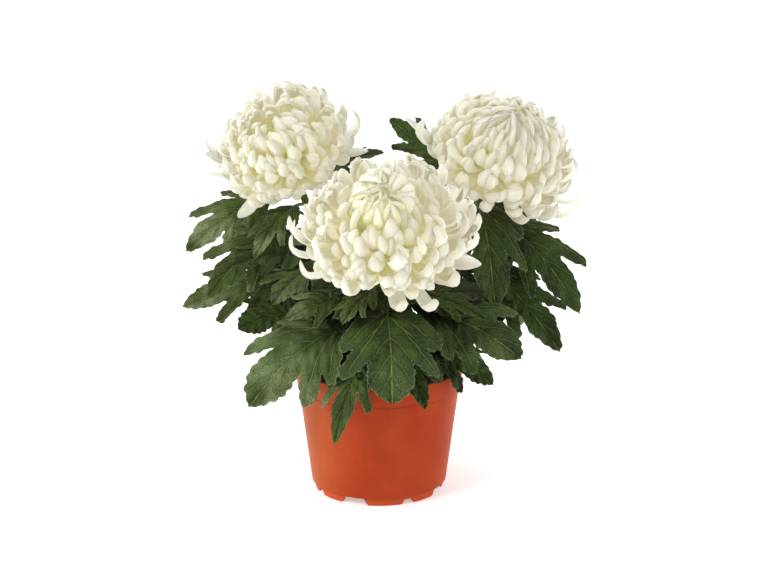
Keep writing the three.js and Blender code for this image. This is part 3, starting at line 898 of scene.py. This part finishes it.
def foliageMaterial():
    look = leafLook
    sheen = {"Sheen Weight": 0.05, "Sheen Roughness": 0.5, "Sheen Tint": look["hair"]}
    material, net = newMaterial("foliage", sheen | {"Specular IOR Level": 0.2})
    place = objectPlace(net)
    spot = shaderAttribute(net, "leafSpot")["Vector"]
    margin, tone, shaded = [shaderAttribute(net, name)["Fac"] for name in ("margin", "tone", "shaded")]
    along, across, skin = spot.parts()
    drift = (net.noise(spot * (1.0, 0.36, 0.0) + tone * 7, 9)["Color"] - 0.5) * 0.022
    flat = net.vector(along, abs(across) * look["aspect"], 0.0) + drift * (1.0, 1.0, 0.0)
    nearest, beside, passed = veinWires(net, flat)
    vein = 1 - nearest.smooth(0.0012, 0.0072)
    valley = 1 - beside.smooth(0.0, 0.03)
    sideVein = (passed * 104 - beside * 84).sin().smooth(0.88, 1.0) * beside.smooth(0.002, 0.012)
    netting = 1 - net.cells(place, 420, "DISTANCE_TO_EDGE").smooth(0.02, 0.16)
    cloud = net.noise(place, 48, 3, 0.6)
    patch = net.noise(place, 24).smooth(0.46, 0.66)
    fine = net.noise(place, 900, 2, 0.6)
    isUnder = 1 - skin.smooth(-0.6, -0.2)
    isBlade = abs(skin).smooth(0.1, 0.6)
    fuzz = (1 - margin.smooth(0.0, 0.3)) * fine.smooth(0.44, 0.62) * 0.4 + fine.smooth(0.5, 0.72) * 0.1
    # through the tone, painted light makes these pale patches stronger on the left leaves
    frost = patch * (0.15 + tone * 0.85) * along.smooth(0.3, 0.95) * fine.smooth(0.4, 0.7) * 0.7
    dots = 1 - net.cells(place, 300).smooth(0.05, 0.12)
    rare = net.noise(place, 130, 1).smooth(0.45, 0.54)
    green = coats(net, look, "upperDeep", [
        (cloud.smooth(0.32, 0.68), "upper"),
        # through the tone, painted light makes the greens lighter and greyer on the left leaves
        (tone * 0.4 * (0.5 + patch * 0.5), "upperLight"),
        (patch * tone * (0.35 + along.smooth(0.3, 0.9) * 0.4), "bloomed"),
        # painted shade: darker green in the grooves beside the veins
        (valley * 0.4 * isBlade, "upperDeep"),
        (netting * 0.05 * isBlade, "vein"),
        (sideVein * 0.13 * isBlade, "vein"),
        (vein * (0.4 + cloud * 0.8).least(1.0) * isBlade, "vein"),
        ((1 - isBlade) * 0.6, "upperLight"),
        (isUnder * 0.7, "under"),
        ((fuzz + frost).least(0.6) * isBlade, "hair"),
        (dots * rare * 0.7 * isBlade, "speck"),
        (((1 - along.smooth(0.0, 0.4)) * 0.35 * isBlade).most(shaded), "shade"),
    ])
    rough = 0.5 + fine * 0.14 - vein * 0.08 + isUnder * 0.15
    height = fine * 0.2 - vein * 0.6 - valley * 0.5 - sideVein * 0.4 - netting * 0.1 + cloud * 0.5
    shade(net, {"Base Color": green, "Roughness": rough, "Normal": net.bump(height, 0.0014, 0.8)})
    return material


def stemTree():
    spots = ("Start", "Start Handle", "End Handle", "End")
    inputs = {"Material": "Material", "Radius": "Float", "Steps": "Int", "Sides": "Int"}
    net, given = newTree("stem", inputs | dict.fromkeys(spots, "Vector"))
    ends = {name: given[name] for name in spots} | {"Resolution": given["Steps"]}
    path = net.node("GeometryNodeCurvePrimitiveBezierSegment", ends, mode="POSITION")
    even = net.node("GeometryNodeResampleCurve", {"Curve": path, "Count": given["Steps"]})
    ring = {"Resolution": given["Sides"], "Radius": given["Radius"]}
    circle = net.node("GeometryNodeCurvePrimitiveCircle", ring)
    tube = net.node("GeometryNodeCurveToMesh", {"Curve": even, "Profile Curve": circle, "Fill Caps": True})
    lumps = net.noise(net.node("GeometryNodeInputPosition"), 110)["Color"] - 0.5
    offset = lumps * (given["Radius"] * 0.35)
    grown = net.node("GeometryNodeSetPosition", {"Geometry": tube, "Offset": offset})
    return closeTree(net, [given["Geometry"], grown], given["Material"])


# The petals. A layer of petals springs from a small core; each petal leaves it outwards and turns in
# towards the bloom's axis, more and more quickly along its length.

petalLook = {
    "rows": [0.0, 0.2, 0.34, 0.45, 0.55, 0.64, 0.72, 0.8, 0.87, 0.93, 0.975],
    "across": 4,
    "rootWidth": 0.42,
    "widest": 0.64,
    "taper": 0.52,
    "cup": 0.55,
    "thickness": 0.8,
    "coreRadius": 0.46,
    "coreDome": 0.4,
    "coreDrop": 0.12,
    "pathSteps": 9,
    "widthScatter": 0.26,
    "cupScatter": 0.5,
    "ripple": 0.4,
    "pointDepth": 0.85,  # how much narrower the tip of a fully pointed petal is
    "seed": 7,
    "tipColour": display(235, 231, 212),
    "bodyColour": display(233, 228, 203),
    "rootColour": display(234, 228, 196),
    "deepColour": display(235, 229, 180),
    "deepestColour": display(204, 212, 100),
    "wornColour": display(178, 179, 160),
    "glow": 0.15,
}


def petalPattern():
    look = petalLook
    rows = look["rows"]
    points, spots, lifts = [], [], []
    outer = [-1 + 2 * k / look["across"] for k in range(look["across"] + 1)]
    section = [(x, 1.0 if abs(x) < 1 else 0.0) for x in outer] + [(x, -1.0) for x in reversed(outer[1:-1])]
    ring = len(section)
    for along in rows:
        if along <= look["widest"]:
            width = look["rootWidth"] + (1 - look["rootWidth"]) * sin(pi / 2 * along / look["widest"])
        else:
            width = (1 - ((along - look["widest"]) / (1.004 - look["widest"])) ** 2) ** look["taper"]
        for x, skin in section:
            points.append((x * width, along, -look["cup"] * width * x * x))
            lifts.append(skin * look["thickness"] / 2 * mm * min(1, (1.03 - along) * 5))
            spots.append((x, along, skin))
    last, tip = (len(rows) - 1) * ring, len(points)
    points.append((0.0, 1.0, -0.06))
    lifts.append(0.0)
    spots.append((0.0, 1.0, 0.0))
    faces = tubeFaces(len(rows), ring)
    faces += [(last + k, tip, last + (k + 1) % ring) for k in range(ring)]
    faces.append(tuple(range(ring)))
    seams = [0, look["across"]]
    sharp = [(at * ring + k, (at + 1) * ring + k) for at in range(len(rows) - 1) for k in seams]
    sharp += [(last + k, tip) for k in seams]
    mesh = meshFrom("petalPattern", points, faces, sharp)
    writeAttribute(mesh, "petalSpot", spots)
    writeAttribute(mesh, "petalSkin", lifts)
    return addObject("petalPattern", mesh)


def inMetres(length):
    return length * mm


# The numbers that a layer of petals takes, and what brings each group to the tree's units
petalInputs = [
    (inMetres, ("radius", "dome", "coreRadius", "coreDome", "coreDrop", "shortest", "halfWidth", "lift")),
    (radians, ("from", "to", "angle", "scatter", "lean", "tilt", "lopAngle")),
    (float, ("reach", "reachScatter", "stretch", "curl", "curlScatter", "bendFrom", "bendTo", "point")),
    (float, ("cup", "sway", "twist", "turn", "roll", "young", "lop")),
]


def petalTree():
    inputs = {"Pattern": "Object", "Material": "Material", "Count": "Int", "Seed": "Int"}
    for _, names in petalInputs:
        inputs |= dict.fromkeys(names, "Float")
    look = petalLook
    net, given = newTree("petalLayer", inputs)
    points = net.node("GeometryNodePoints", {"Count": given["Count"], "Position": (0, 0, 0)})
    numbered = keepAttribute(net, points, "petal", net.node("GeometryNodeInputIndex"), "INT")
    real = growOn(net, numbered, given["Pattern"])
    petal = attributeOf(net, "petal", "INT")

    def chance(stream):
        return drawn(net, -1.0, 1.0, petal, given["Seed"] + stream)

    def turnedBy(x, y, angle):  # both in the plane that they span
        return x * angle.cos() - y * angle.sin(), x * angle.sin() + y * angle.cos()

    across, along, cup = net.node("GeometryNodeInputPosition").parts()
    skin = attributeOf(net, "petalSkin")
    share = (petal + 0.5) / given["Count"]
    level = given["from"].cos() * (1 - share) + given["to"].cos() * share
    polar = net.maths("ARCCOSINE", level) + given["scatter"] * chance(1)
    spin = given["angle"] + petal * (pi * (3 - sqrt(5))) + given["scatter"] * 1.5 * chance(2)
    coreOut = given["coreRadius"] * polar.sin()
    coreUp = given["coreDome"] * polar.cos() - given["coreDrop"]
    surface = 1 / ((polar.sin() / given["radius"]) ** 2 + (polar.cos() / given["dome"]) ** 2).root()
    uneven = 1 + given["reachScatter"] * chance(4)
    uneven = uneven + given["lop"] * (spin - given["lopAngle"]).cos() * polar.sin()
    gap = surface * given["reach"] * uneven - (coreOut * coreOut + coreUp * coreUp).root()
    length = (gap * given["stretch"]).most(given["shortest"] * uneven)
    first = polar + given["lean"]
    curl = given["curl"] * (1 + given["curlScatter"] * chance(3))

    def bendAt(share):
        return curl * share.ramp(given["bendFrom"], given["bendTo"])

    bend = bendAt(along)
    steps = look["pathSteps"]
    ahead, inward = 0.0, 0.0
    for step in range(steps):
        turned = bendAt(along * ((step + 0.5) / steps))
        ahead = ahead + turned.cos()
        inward = inward + turned.sin()
    ahead = ahead * along * length * (1 / steps)
    inward = inward * along * length * (1 / steps)
    width = given["halfWidth"] * (1 + look["widthScatter"] * chance(5))
    narrow = 1 - given["point"] * along.smooth(0.3, 1.0) * look["pointDepth"]
    side = across * width * narrow
    ripple = net.noise(net.vector(across * 0.7, along * 2.0, petal * 3.7), 1.3, 1) - 0.5
    cupped = given["cup"] * cup * width * (1 + look["cupScatter"] * chance(6))
    lift = cupped + skin + ripple * width * look["ripple"] * along
    side, lift = turnedBy(side, lift, (given["twist"] * chance(7) + given["roll"]) * along)
    side = side + length * along * along * (given["sway"] * chance(8))
    ahead = ahead + lift * bend.sin()
    outward = lift * bend.cos() - inward
    outward, side = turnedBy(outward, side, given["turn"] * chance(9))
    out = coreOut + ahead * first.sin() + outward * first.cos()
    up = coreUp + ahead * first.cos() - outward * first.sin()
    x, y = turnedBy(out, side, spin)
    y, z = turnedBy(y, up, given["tilt"])
    z = z + given["lift"]
    place = net.vector(x, y, z)
    depth = 1 - ((x * x + y * y) / (given["radius"] * given["radius"]) + (z / given["dome"]) ** 2).root()
    tinted = keepAttribute(net, real, "petalDepth", depth.most(0.0) + given["young"])
    shaped = net.node("GeometryNodeSetPosition", {"Geometry": tinted, "Position": place})
    return closeTree(net, [given["Geometry"], shaped], given["Material"])


# What a layer of petals is where it doesn't say. Angles are in degrees and widths in millimetres.
layerDefaults = {
    "scatter": 5,
    "reachScatter": 0.08,
    "lean": 4,
    "curlScatter": 0.15,
    "point": 0.12,
    "cup": 1.6,
    "sway": 0.1,
    "twist": 0.5,
    "turn": 0.3,
    "roll": 0,
    "angle": 0,
    "tilt": 0,
    "lift": 0,
    "shortest": 0,
    "young": 0,  # how much greener than its place makes it; below zero, how grey painted shade makes it
    "ball": None,  # radius, lift and tilt of a ball of petals whose tips meet
    "lop": (0, 0),
    "core": 1.0,
}
ballLook = {"reach": 0, "lean": -90, "bend": (0.0, 1.0), "scatter": 12, "turn": 0, "sway": 0.2}
ballLook |= {"reachScatter": 0.06, "curlScatter": 0.16, "twist": 0.3, "cup": 0.6, "roll": 0.2, "lop": (0, 0)}


def pale(point, young):  # the young petals of a middle
    return {"point": point, "young": young}


# Each bloom's layers, from the middle outwards, with what else is its own
layerKeys = ("count", "from", "to", "reach", "curl", "halfWidth", "bend")
bloomLayers = {
    "left": [
        (18, 5, 15, 0.54, 1.1, 2.6, (0.3, 1.0), {"lean": 10, "scatter": 9} | pale(0.6, 0.2)),
        (36, 14, 34, 0.74, 2.0, 4.0, (0.42, 0.96), {"lean": 14, "scatter": 8}),
        (56, 31, 58, 0.82, 2.1, 5.0, (0.46, 0.95), {"scatter": 7, "turn": 0.5}),
        (74, 55, 86, 0.81, 2.2, 5.7, (0.5, 0.97), {"turn": 0.55}),
        (44, 83, 104, 0.8, 2.2, 6.2, (0.52, 1.0), {"lean": 0, "turn": 0.6}),
    ],
    "front": [
        (11, 106, 132, 0, 2.1, 3.2, (0, 1), {"ball": (16.0, 38, 32)} | pale(0.8, 0.46)),
        (13, 104, 132, 0, 1.98, 4.0, (0, 1), {"angle": 20, "ball": (18.4, 38, 33.5)} | pale(0.75, 0.42)),
        (15, 104, 134, 0, 1.82, 4.6, (0, 1), {"ball": (20.4, 37.5, 35)} | pale(0.7, 0.36)),
        (16, 110, 138, 0, 1.62, 5.2, (0, 1), {"angle": 10, "ball": (22.4, 37, 36)} | pale(0.6, 0.3)),
        (20, 32, 42, 0.8, 2.6, 4.4, (0.17, 1.0), {"point": 0.4, "lop": (0.25, 90), "turn": 0.15}),
        (28, 40, 54, 0.84, 1.9, 5.0, (0.48, 0.96), {"lean": 2, "turn": 0.4}),
        (46, 50, 70, 0.88, 2.1, 5.6, (0.52, 0.96), {"turn": 0.45}),
        (60, 67, 90, 0.88, 2.2, 6.0, (0.54, 0.97), {"turn": 0.45}),
        (48, 86, 105, 0.84, 2.3, 6.4, (0.56, 1.0), {"lean": 0, "turn": 0.55}),
    ],
    "right": [
        (34, 4, 14, 0.8, 2.0, 2.4, (0.45, 1.0), {"lean": 24, "scatter": 3, "turn": 0.15} | pale(0.7, 0.2)),
        (56, 13, 32, 0.85, 1.85, 3.7, (0.4, 0.88), {"point": 0.5, "lean": 10, "scatter": 3, "turn": 0.15}),
        (66, 30, 56, 0.86, 1.9, 4.9, (0.42, 0.88), {"point": 0.35, "scatter": 4, "turn": 0.25}),
        (74, 53, 84, 0.88, 2.1, 5.8, (0.48, 0.95), {"turn": 0.45}),
        (50, 81, 106, 0.88, 2.2, 6.3, (0.5, 1.0), {"lean": 0, "turn": 0.55}),
    ],
}
underside = [
    (34, 112, 146, 0.66, 0.9, 7.0, (0.4, 1.0), {"lean": -30, "lop": (0, 0)}),
    (30, 138, 163, 0.76, 0.5, 6.0, (0.3, 1.0), {"lean": -62, "lop": (0, 0)}),
]
# How much further one side of a bloom stands out than the other, and at what angle about its axis
bloomLop = {"left": (0.1, 90), "front": (0.15, 65), "right": (0.06, 350)}
bloomCore = {"left": 0.76, "front": 0.7, "right": 0.84}  # the size of the core its petals spring from
strayLook = dict.fromkeys(("lean", "scatter", "reachScatter", "curlScatter"), 0)
strayLook |= {"count": 1, "turn": 0.15, "cup": 1.4}
# Petals that stand out of their bloom: from is the angle between one and the bloom's axis, angle its place
# about the axis, bendFrom where along its length it begins to bend, and worn how grey painted shade makes it
strayKeys = ("from", "angle", "reach", "halfWidth", "curl", "bendFrom", "point", "worn", "roll")
strayPetals = {
    "left": [
        (72, 198, 0.99, 5.4, 1.6, 0.5, 0.2, 0.5, 0.8),
        (81, 214, 0.94, 6.2, 1.4, 0.5, 0.0, 0.3, -0.6),
        (103, 252, 0.97, 6.0, 0.6, 0.6, 0.0, 0.15),
        (91, 277, 0.76, 6.8, 2.7, 0.5, 0.2, 0.05),
        (99, 262, 0.8, 6.0, 2.4, 0.5, 0.2, 0.05),
        (106, 21, 1.04, 6.6, 0.5, 0.5, 0.3, 0.3),
        (101, 35, 0.99, 6.0, 2.4, 0.4, 0.2, 0.3),
        (107, 331, 0.86, 7.0, 1.4, 0.5, 0.4, 0.05),
        (60, 60, 0.93, 5.0, 2.4, 0.4, 0.2, 0.05),
        (76, 205, 0.95, 6.4, 1.3, 0.5, 0.0, 1.0, -0.9),
    ],
    "front": [
        (95, 214, 0.95, 5.0, 2.1, 0.5, 0.4, 0.05),
        (84, 218, 0.8, 5.6, 2.3, 0.5, 0.2, 0.05),
        (95, 244, 0.84, 6.0, 2.7, 0.5, 0.2, 0.05),
        (84, 180, 1.0, 5.0, 1.9, 0.5, 0.4, 0.3),
        (80, 188, 0.98, 4.2, 2.0, 0.5, 0.5, 0.3),
        (94, 190, 0.96, 6.2, 2.3, 0.5, 0.2, 0.05),
        (115, 282, 0.87, 7.4, 2.9, 0.56, 0.1, 0.05),
        (113, 302, 0.97, 7.6, 2.8, 0.6, 0.1, 0.05),
        (104, 328, 0.93, 7.4, 2.6, 0.5, 0.2, 0.05),
        (102, 349, 1.04, 7.4, 0.9, 0.5, 0.3, 0.2),
        (66, 52, 0.99, 4.4, 1.6, 0.5, 0.3, 0.05),
    ],
    "right": [
        (97, 137, 1.22, 5.6, 0.6, 0.3, 0.0, 0.4),
        (92, 146, 1.04, 6.6, 2.3, 0.4, 0.1, 0.25),
        (104, 205, 0.78, 7.6, 2.9, 0.3, 0.2, 0.05),
        (54, 3, 1.04, 4.2, 0.8, 0.3, 0.8, 0.05),
        (104, 303, 1.12, 6.0, 2.3, 0.4, 0.3, 0.05),
        (98, 314, 1.07, 5.6, 2.3, 0.4, 0.3, 0.05),
        (113, 269, 0.94, 7.2, 2.2, 0.42, 0.3, 0.05),
        (108, 288, 1.0, 6.4, 2.6, 0.4, 0.2, 0.05),
    ],
}


def stretchOf(curl, bend):  # a curled petal's length as a share of how far out it reaches
    out, furthest, steps = 0.0, 0.0, 60
    for step in range(steps):
        share = ((step + 0.5) / steps - bend[0]) / (bend[1] - bend[0])
        out += cos(curl * min(1.0, max(0.0, share))) / steps
        furthest = max(furthest, out)
    return 1 / furthest


def addLayer(thing, tree, plant, pattern, material, seed, choices):
    look = petalLook
    layer = layerDefaults | {"radius": plant["radius"], "dome": plant["dome"]} | choices
    layer["coreRadius"] = look["coreRadius"] * layer["core"] * plant["radius"]
    layer["coreDome"] = look["coreDome"] * layer["core"] * plant["dome"]
    layer["coreDrop"] = look["coreDrop"] * plant["dome"]
    if layer["ball"]:  # each petal runs up the ball from below to its pole
        ball, lift, tilt = layer["ball"]
        layer |= {"coreRadius": ball, "coreDome": ball, "coreDrop": 0, "shortest": ball * layer["curl"]}
        layer |= {"lift": lift, "tilt": tilt} | ballLook
    layer["stretch"] = stretchOf(layer["curl"], layer["bend"])
    layer["bendFrom"], layer["bendTo"] = layer["bend"]
    layer["lop"], layer["lopAngle"] = layer["lop"]
    values = {"Pattern": pattern, "Material": material, "Count": layer["count"], "Seed": seed}
    for convert, names in petalInputs:
        values |= {name: convert(layer[name]) for name in names}
    addStep(thing, tree, values)


def petalMaterial():
    look = petalLook
    through = {"Subsurface Weight": 0.8, "Subsurface Scale": 0.006, "Subsurface Radius": (1.0, 1.0, 1.0)}
    material, net = newMaterial("petals", through | {"Specular IOR Level": 0.3, "Emission Strength": 1.0})
    across, along, _ = shaderAttribute(net, "petalSpot")["Vector"].parts()
    depth = shaderAttribute(net, "petalDepth")["Fac"]
    cloud = net.noise(objectPlace(net), 60)
    # painted shade: the petals' edges darker and greener, so that the seams between them read as shaded
    # crevices
    seamShade = abs(across).smooth(0.5, 1.0) * (0.4 + along.smooth(0.55, 0.95) * 0.6)
    colour = coats(net, look, "bodyColour", [
        (along.smooth(0.35, 0.9), "tipColour"),
        ((1 - along.smooth(0.05, 0.6)) * 0.7, "rootColour"),
        (depth.smooth(0.3, 0.54) * 0.75, "deepColour"),
        (depth.smooth(0.58, 0.72) * 0.6, "deepestColour"),
        (seamShade * depth.smooth(0.08, 0.34) * 0.34, "deepestColour"),
        (cloud.smooth(0.4, 0.8) * 0.12, "bodyColour"),
        # painted shade: petals whose depth is set below zero, the strays, turn grey
        ((0 - depth).most(0.0), "wornColour"),
    ])
    passed = (0.55 + depth.smooth(0.0, 0.4) * 0.45) * look["glow"]  # light from petal to petal
    lines = (across * 17 + net.noise(net.vector(across * 2, along * 3, depth * 4), 2, 1) * 2).sin()
    grooves = lines * 0.5 + (across * 41).sin() * 0.2
    shade(net, {
        "Base Color": colour,
        "Emission Color": net.blend(passed, (0.0, 0.0, 0.0), colour),
        "Normal": net.bump(grooves, 0.00022, 0.8),
        "Roughness": 0.44 + cloud * 0.12,
    })
    return material


def makeBlooms():
    look = petalLook
    pattern, tree, material = petalPattern(), petalTree(), petalMaterial()
    for name, plant in plants.items():
        wide, tall = look["coreRadius"] * plant["radius"], look["coreDome"] * plant["dome"] * 1.05
        drop = look["coreDrop"] * plant["dome"] * mm

        def makeCore(shape):
            bmesh.ops.create_uvsphere(shape, u_segments=24, v_segments=14, radius=1.0)
            bmesh.ops.scale(shape, verts=shape.verts, vec=Vector((wide, wide, tall)) * bloomCore[name] * mm)
            bmesh.ops.translate(shape, verts=shape.verts, vec=(0, 0, -drop))

        core = reshape(bpy.data.meshes.new(f"petals_{name}"), makeCore)
        heights = [3 * (vert.co.z / (tall * mm)) for vert in core.vertices]
        writeAttribute(core, "petalDepth", [0.5 + 0.2 * max(-1.0, min(1.0, height)) for height in heights])
        core.shade_smooth()
        bloom = addObject(f"petals_{name}", core)
        for at, (*row, more) in enumerate(bloomLayers[name] + underside):
            layer = {"lop": bloomLop[name], "core": bloomCore[name]} | dict(zip(layerKeys, row)) | more
            addLayer(bloom, tree, plant, pattern, material, look["seed"] + 20 * at + len(name), layer)
        for at, row in enumerate(strayPetals[name]):
            stray = strayLook | {"core": bloomCore[name]} | dict(zip(strayKeys, row))
            # painted shade: a stray's worn value greys it
            stray |= {"to": stray["from"], "bend": (stray["bendFrom"], 1.0), "young": -stray["worn"]}
            addLayer(bloom, tree, plant, pattern, material, look["seed"] + 300 + at, stray)
        settle(bloom)
        bloom.data.transform(bloomFrame(plant))
        finishPiece(bloom, f"bloom_{name}")
    bpy.data.objects.remove(pattern)


def makeSpray(name, line, patterns, tree, material, rand):  # the leaves of one stem
    look = leafLook
    plan = {label: [] for label in ("start", "control", "tip", "wide", "roll", "tone", "kind", "shaded")}
    for at, (share, tip, arch, wide, roll, *rest) in enumerate(leaves[name]):
        out, shaded = (*rest, 0, 0)[:2]
        start, end = alongPath(line, share), Vector(tip) * mm
        level = ((end - start) * Vector((1, 1, 0))).normalized()
        isSlim = wide * mm < look["slimBelow"] * (end - start).length
        own = {
            "start": start,
            "control": (start + end) / 2 + Vector((0, 0, arch * mm)) + level * out * mm,
            "tip": end,
            "wide": wide * mm,
            "roll": radians(roll),
            # painted light: a leaf is lighter the further left its tip stands, as if lit from the left, with
            # a random part on top
            "tone": min(1.0, max(0.0, 0.4 - tip[0] / 240 + rand.uniform(-0.3, 0.3))),
            "kind": float(at % 2 * 2 + isSlim),
            "shaded": float(shaded),
        }
        for label, value in own.items():
            plan[label].append(value)
    mesh = meshFrom(f"leaves_{name}", [(0, 0, 0)] * len(leaves[name]), [])
    for label, values in plan.items():
        writeAttribute(mesh, label, values)
    spray = addObject(f"leaves_{name}", mesh)
    shared = {"Material": material, "Stalk Share": look["stalkShare"], "Wave": look["wave"] * mm}
    shared["Fold"] = tan(radians(look["foldDegrees"]))
    for kind, pattern in enumerate(patterns):
        addStep(spray, tree, shared | {"Pattern": pattern, "Kind": kind})
    settle(spray)

    def dropLoose(shape):
        loose = [vert for vert in shape.verts if not vert.link_faces]
        bmesh.ops.delete(shape, geom=loose, context="VERTS")

    reshape(spray.data, dropLoose)
    return spray


def makeStem(name, plant, line, tree, material):
    stem = addObject(f"stem_{name}", bpy.data.meshes.new(f"stem_{name}"))
    along = Vector(plant["axis"]).normalized()
    values = {"Material": material, "Radius": stemLook["radius"] * mm, "Steps": 64, "Sides": 16}
    values |= {"Start": line[0], "Start Handle": line[0] + Vector((0, 0, stemLook["rise"] * mm))}
    values |= {"End": line[-1], "End Handle": line[-1] - along * stemLook["approach"] * mm}
    addStep(stem, tree, values)
    settle(stem)
    return stem


def makeBracts(name, plant, pattern, tree, material):
    cup = addObject(f"bracts_{name}", bpy.data.meshes.new(f"bracts_{name}"))
    shape = {"radius": stemLook["bractRadius"], "dome": stemLook["bractDepth"]}
    shared = {"count": 18, "halfWidth": 3.4, "curl": 0.3, "bend": (0.2, 1.0), "point": 0.5, "scatter": 3}
    shared |= {"turn": 0.1, "sway": 0.05, "twist": 0.2}
    for row, own in enumerate([(104, 112, -42, 1.75), (120, 132, -54, 1.6), (140, 150, -62, 1.2)]):
        layer = shared | dict(zip(("from", "to", "lean", "reach"), own))
        addLayer(cup, tree, shape, pattern, material, 40 + row, layer)
    settle(cup)
    seat = (stemLook["seat"] * plant["dome"] + stemLook["bractGap"] + 2) * mm
    cup.data.transform(bloomFrame(plant) @ Matrix.Translation((0, 0, -seat)))
    return cup


def makeFoliage():
    material = foliageMaterial()
    patterns = [leafPattern(kind) for kind in range(leafLook["kinds"])]
    leafNodes, stemNodes, petalNodes, petalShape = leafTree(), stemTree(), petalTree(), petalPattern()
    rand = random.Random(leafLook["seed"])
    for name, plant in plants.items():
        line = stemPath(plant)
        spray = makeSpray(name, line, patterns, leafNodes, material, rand)
        stem = makeStem(name, plant, line, stemNodes, material)
        cup = makeBracts(name, plant, petalShape, petalNodes, material)
        finishPiece(joinAll(f"foliage_{name}", [spray, stem, cup]), f"leafy_stem_{name}")
    for helper in [*patterns, petalShape]:
        bpy.data.objects.remove(helper)


makeFoliage()
makeBlooms()

# The stage: a pale floor that curves up behind, a camera and soft lights

stageLook = {
    "floorColour": display(250, 250, 250),
    "grainColour": (0.85, 0.85, 0.85),
    "cameraPlace": (0.0055, -1.2, 0.449),
    "cameraTilt": 13.64,
    "lens": 74.8,
    "worldStrength": 0.55,
    "floorGlow": 0.42,
}
lamps = {
    "key": {"place": (-1.0, -0.9, 1.1), "aim": (0, 0, 0.16), "size": 0.5, "power": 11.5},
    "top": {"place": (0.1, 0.3, 1.5), "aim": (0, 0, 0.2), "size": 1.2, "power": 6},
    "leftSide": {"place": (-1.3, 0.1, 0.35), "aim": (0, 0, 0.1), "size": 0.8, "power": 3.6},
    "rightSide": {"place": (1.3, 0.0, 0.35), "aim": (0, 0, 0.1), "size": 0.8, "power": 4},
}


def makeStage():
    near, far, bend, high, wide = -3.0, 1.2, 0.8, 3.2, 3.5
    turns = [radians(degrees) for degrees in range(6, 91, 6)]
    profile = [(near, 0.0), (far, 0.0)]
    profile += [(far + bend * sin(turn), bend - bend * cos(turn)) for turn in turns]
    profile += [(far + bend, high)]
    points = [(x, y, z) for y, z in profile for x in (-wide, wide)]
    faces = [(2 * at, 2 * at + 1, 2 * at + 3, 2 * at + 2) for at in range(len(profile) - 1)]
    floor = addObject("studio_floor", meshFrom("studio_floor", points, faces))
    glow = {"Emission Strength": stageLook["floorGlow"], "Emission Color": (1, 1, 1)}
    material, net = newMaterial("studioFloor", {"Roughness": 0.9, "Specular IOR Level": 0.1} | glow)
    paper = net.noise(objectPlace(net), 300) * 0.03
    shade(net, {"Base Color": net.blend(paper, stageLook["floorColour"], stageLook["grainColour"])})
    floor.data.materials.append(material)


def makeCamera():
    camera = bpy.data.objects.new("camera", bpy.data.cameras.new("camera"))
    camera.location = stageLook["cameraPlace"]
    camera.rotation_euler = (radians(90 - stageLook["cameraTilt"]), 0, 0)
    camera.data.lens = stageLook["lens"]
    camera.data.sensor_width = 36
    scene.collection.objects.link(camera)
    scene.camera = camera


def makeLights():
    for name, lamp in lamps.items():
        light = bpy.data.lights.new(name, "AREA")
        light.shape = "DISK"
        light.size = lamp["size"]
        light.energy = lamp["power"]
        holder = bpy.data.objects.new(name, light)
        holder.location = lamp["place"]
        heading = Vector(lamp["aim"]) - Vector(lamp["place"])
        holder.rotation_euler = heading.to_track_quat("-Z", "Y").to_euler()
        scene.collection.objects.link(holder)
    world = bpy.data.worlds.new("studio")
    world.use_nodes = True
    sky = world.node_tree.nodes["Background"]
    sky.inputs["Color"].default_value = (1, 1, 1, 1)
    sky.inputs["Strength"].default_value = stageLook["worldStrength"]
    scene.world = world
    scene.view_settings.view_transform = "Standard"
    scene.view_settings.look = "None"


makeStage()
makeCamera()
makeLights()
print("stage set")
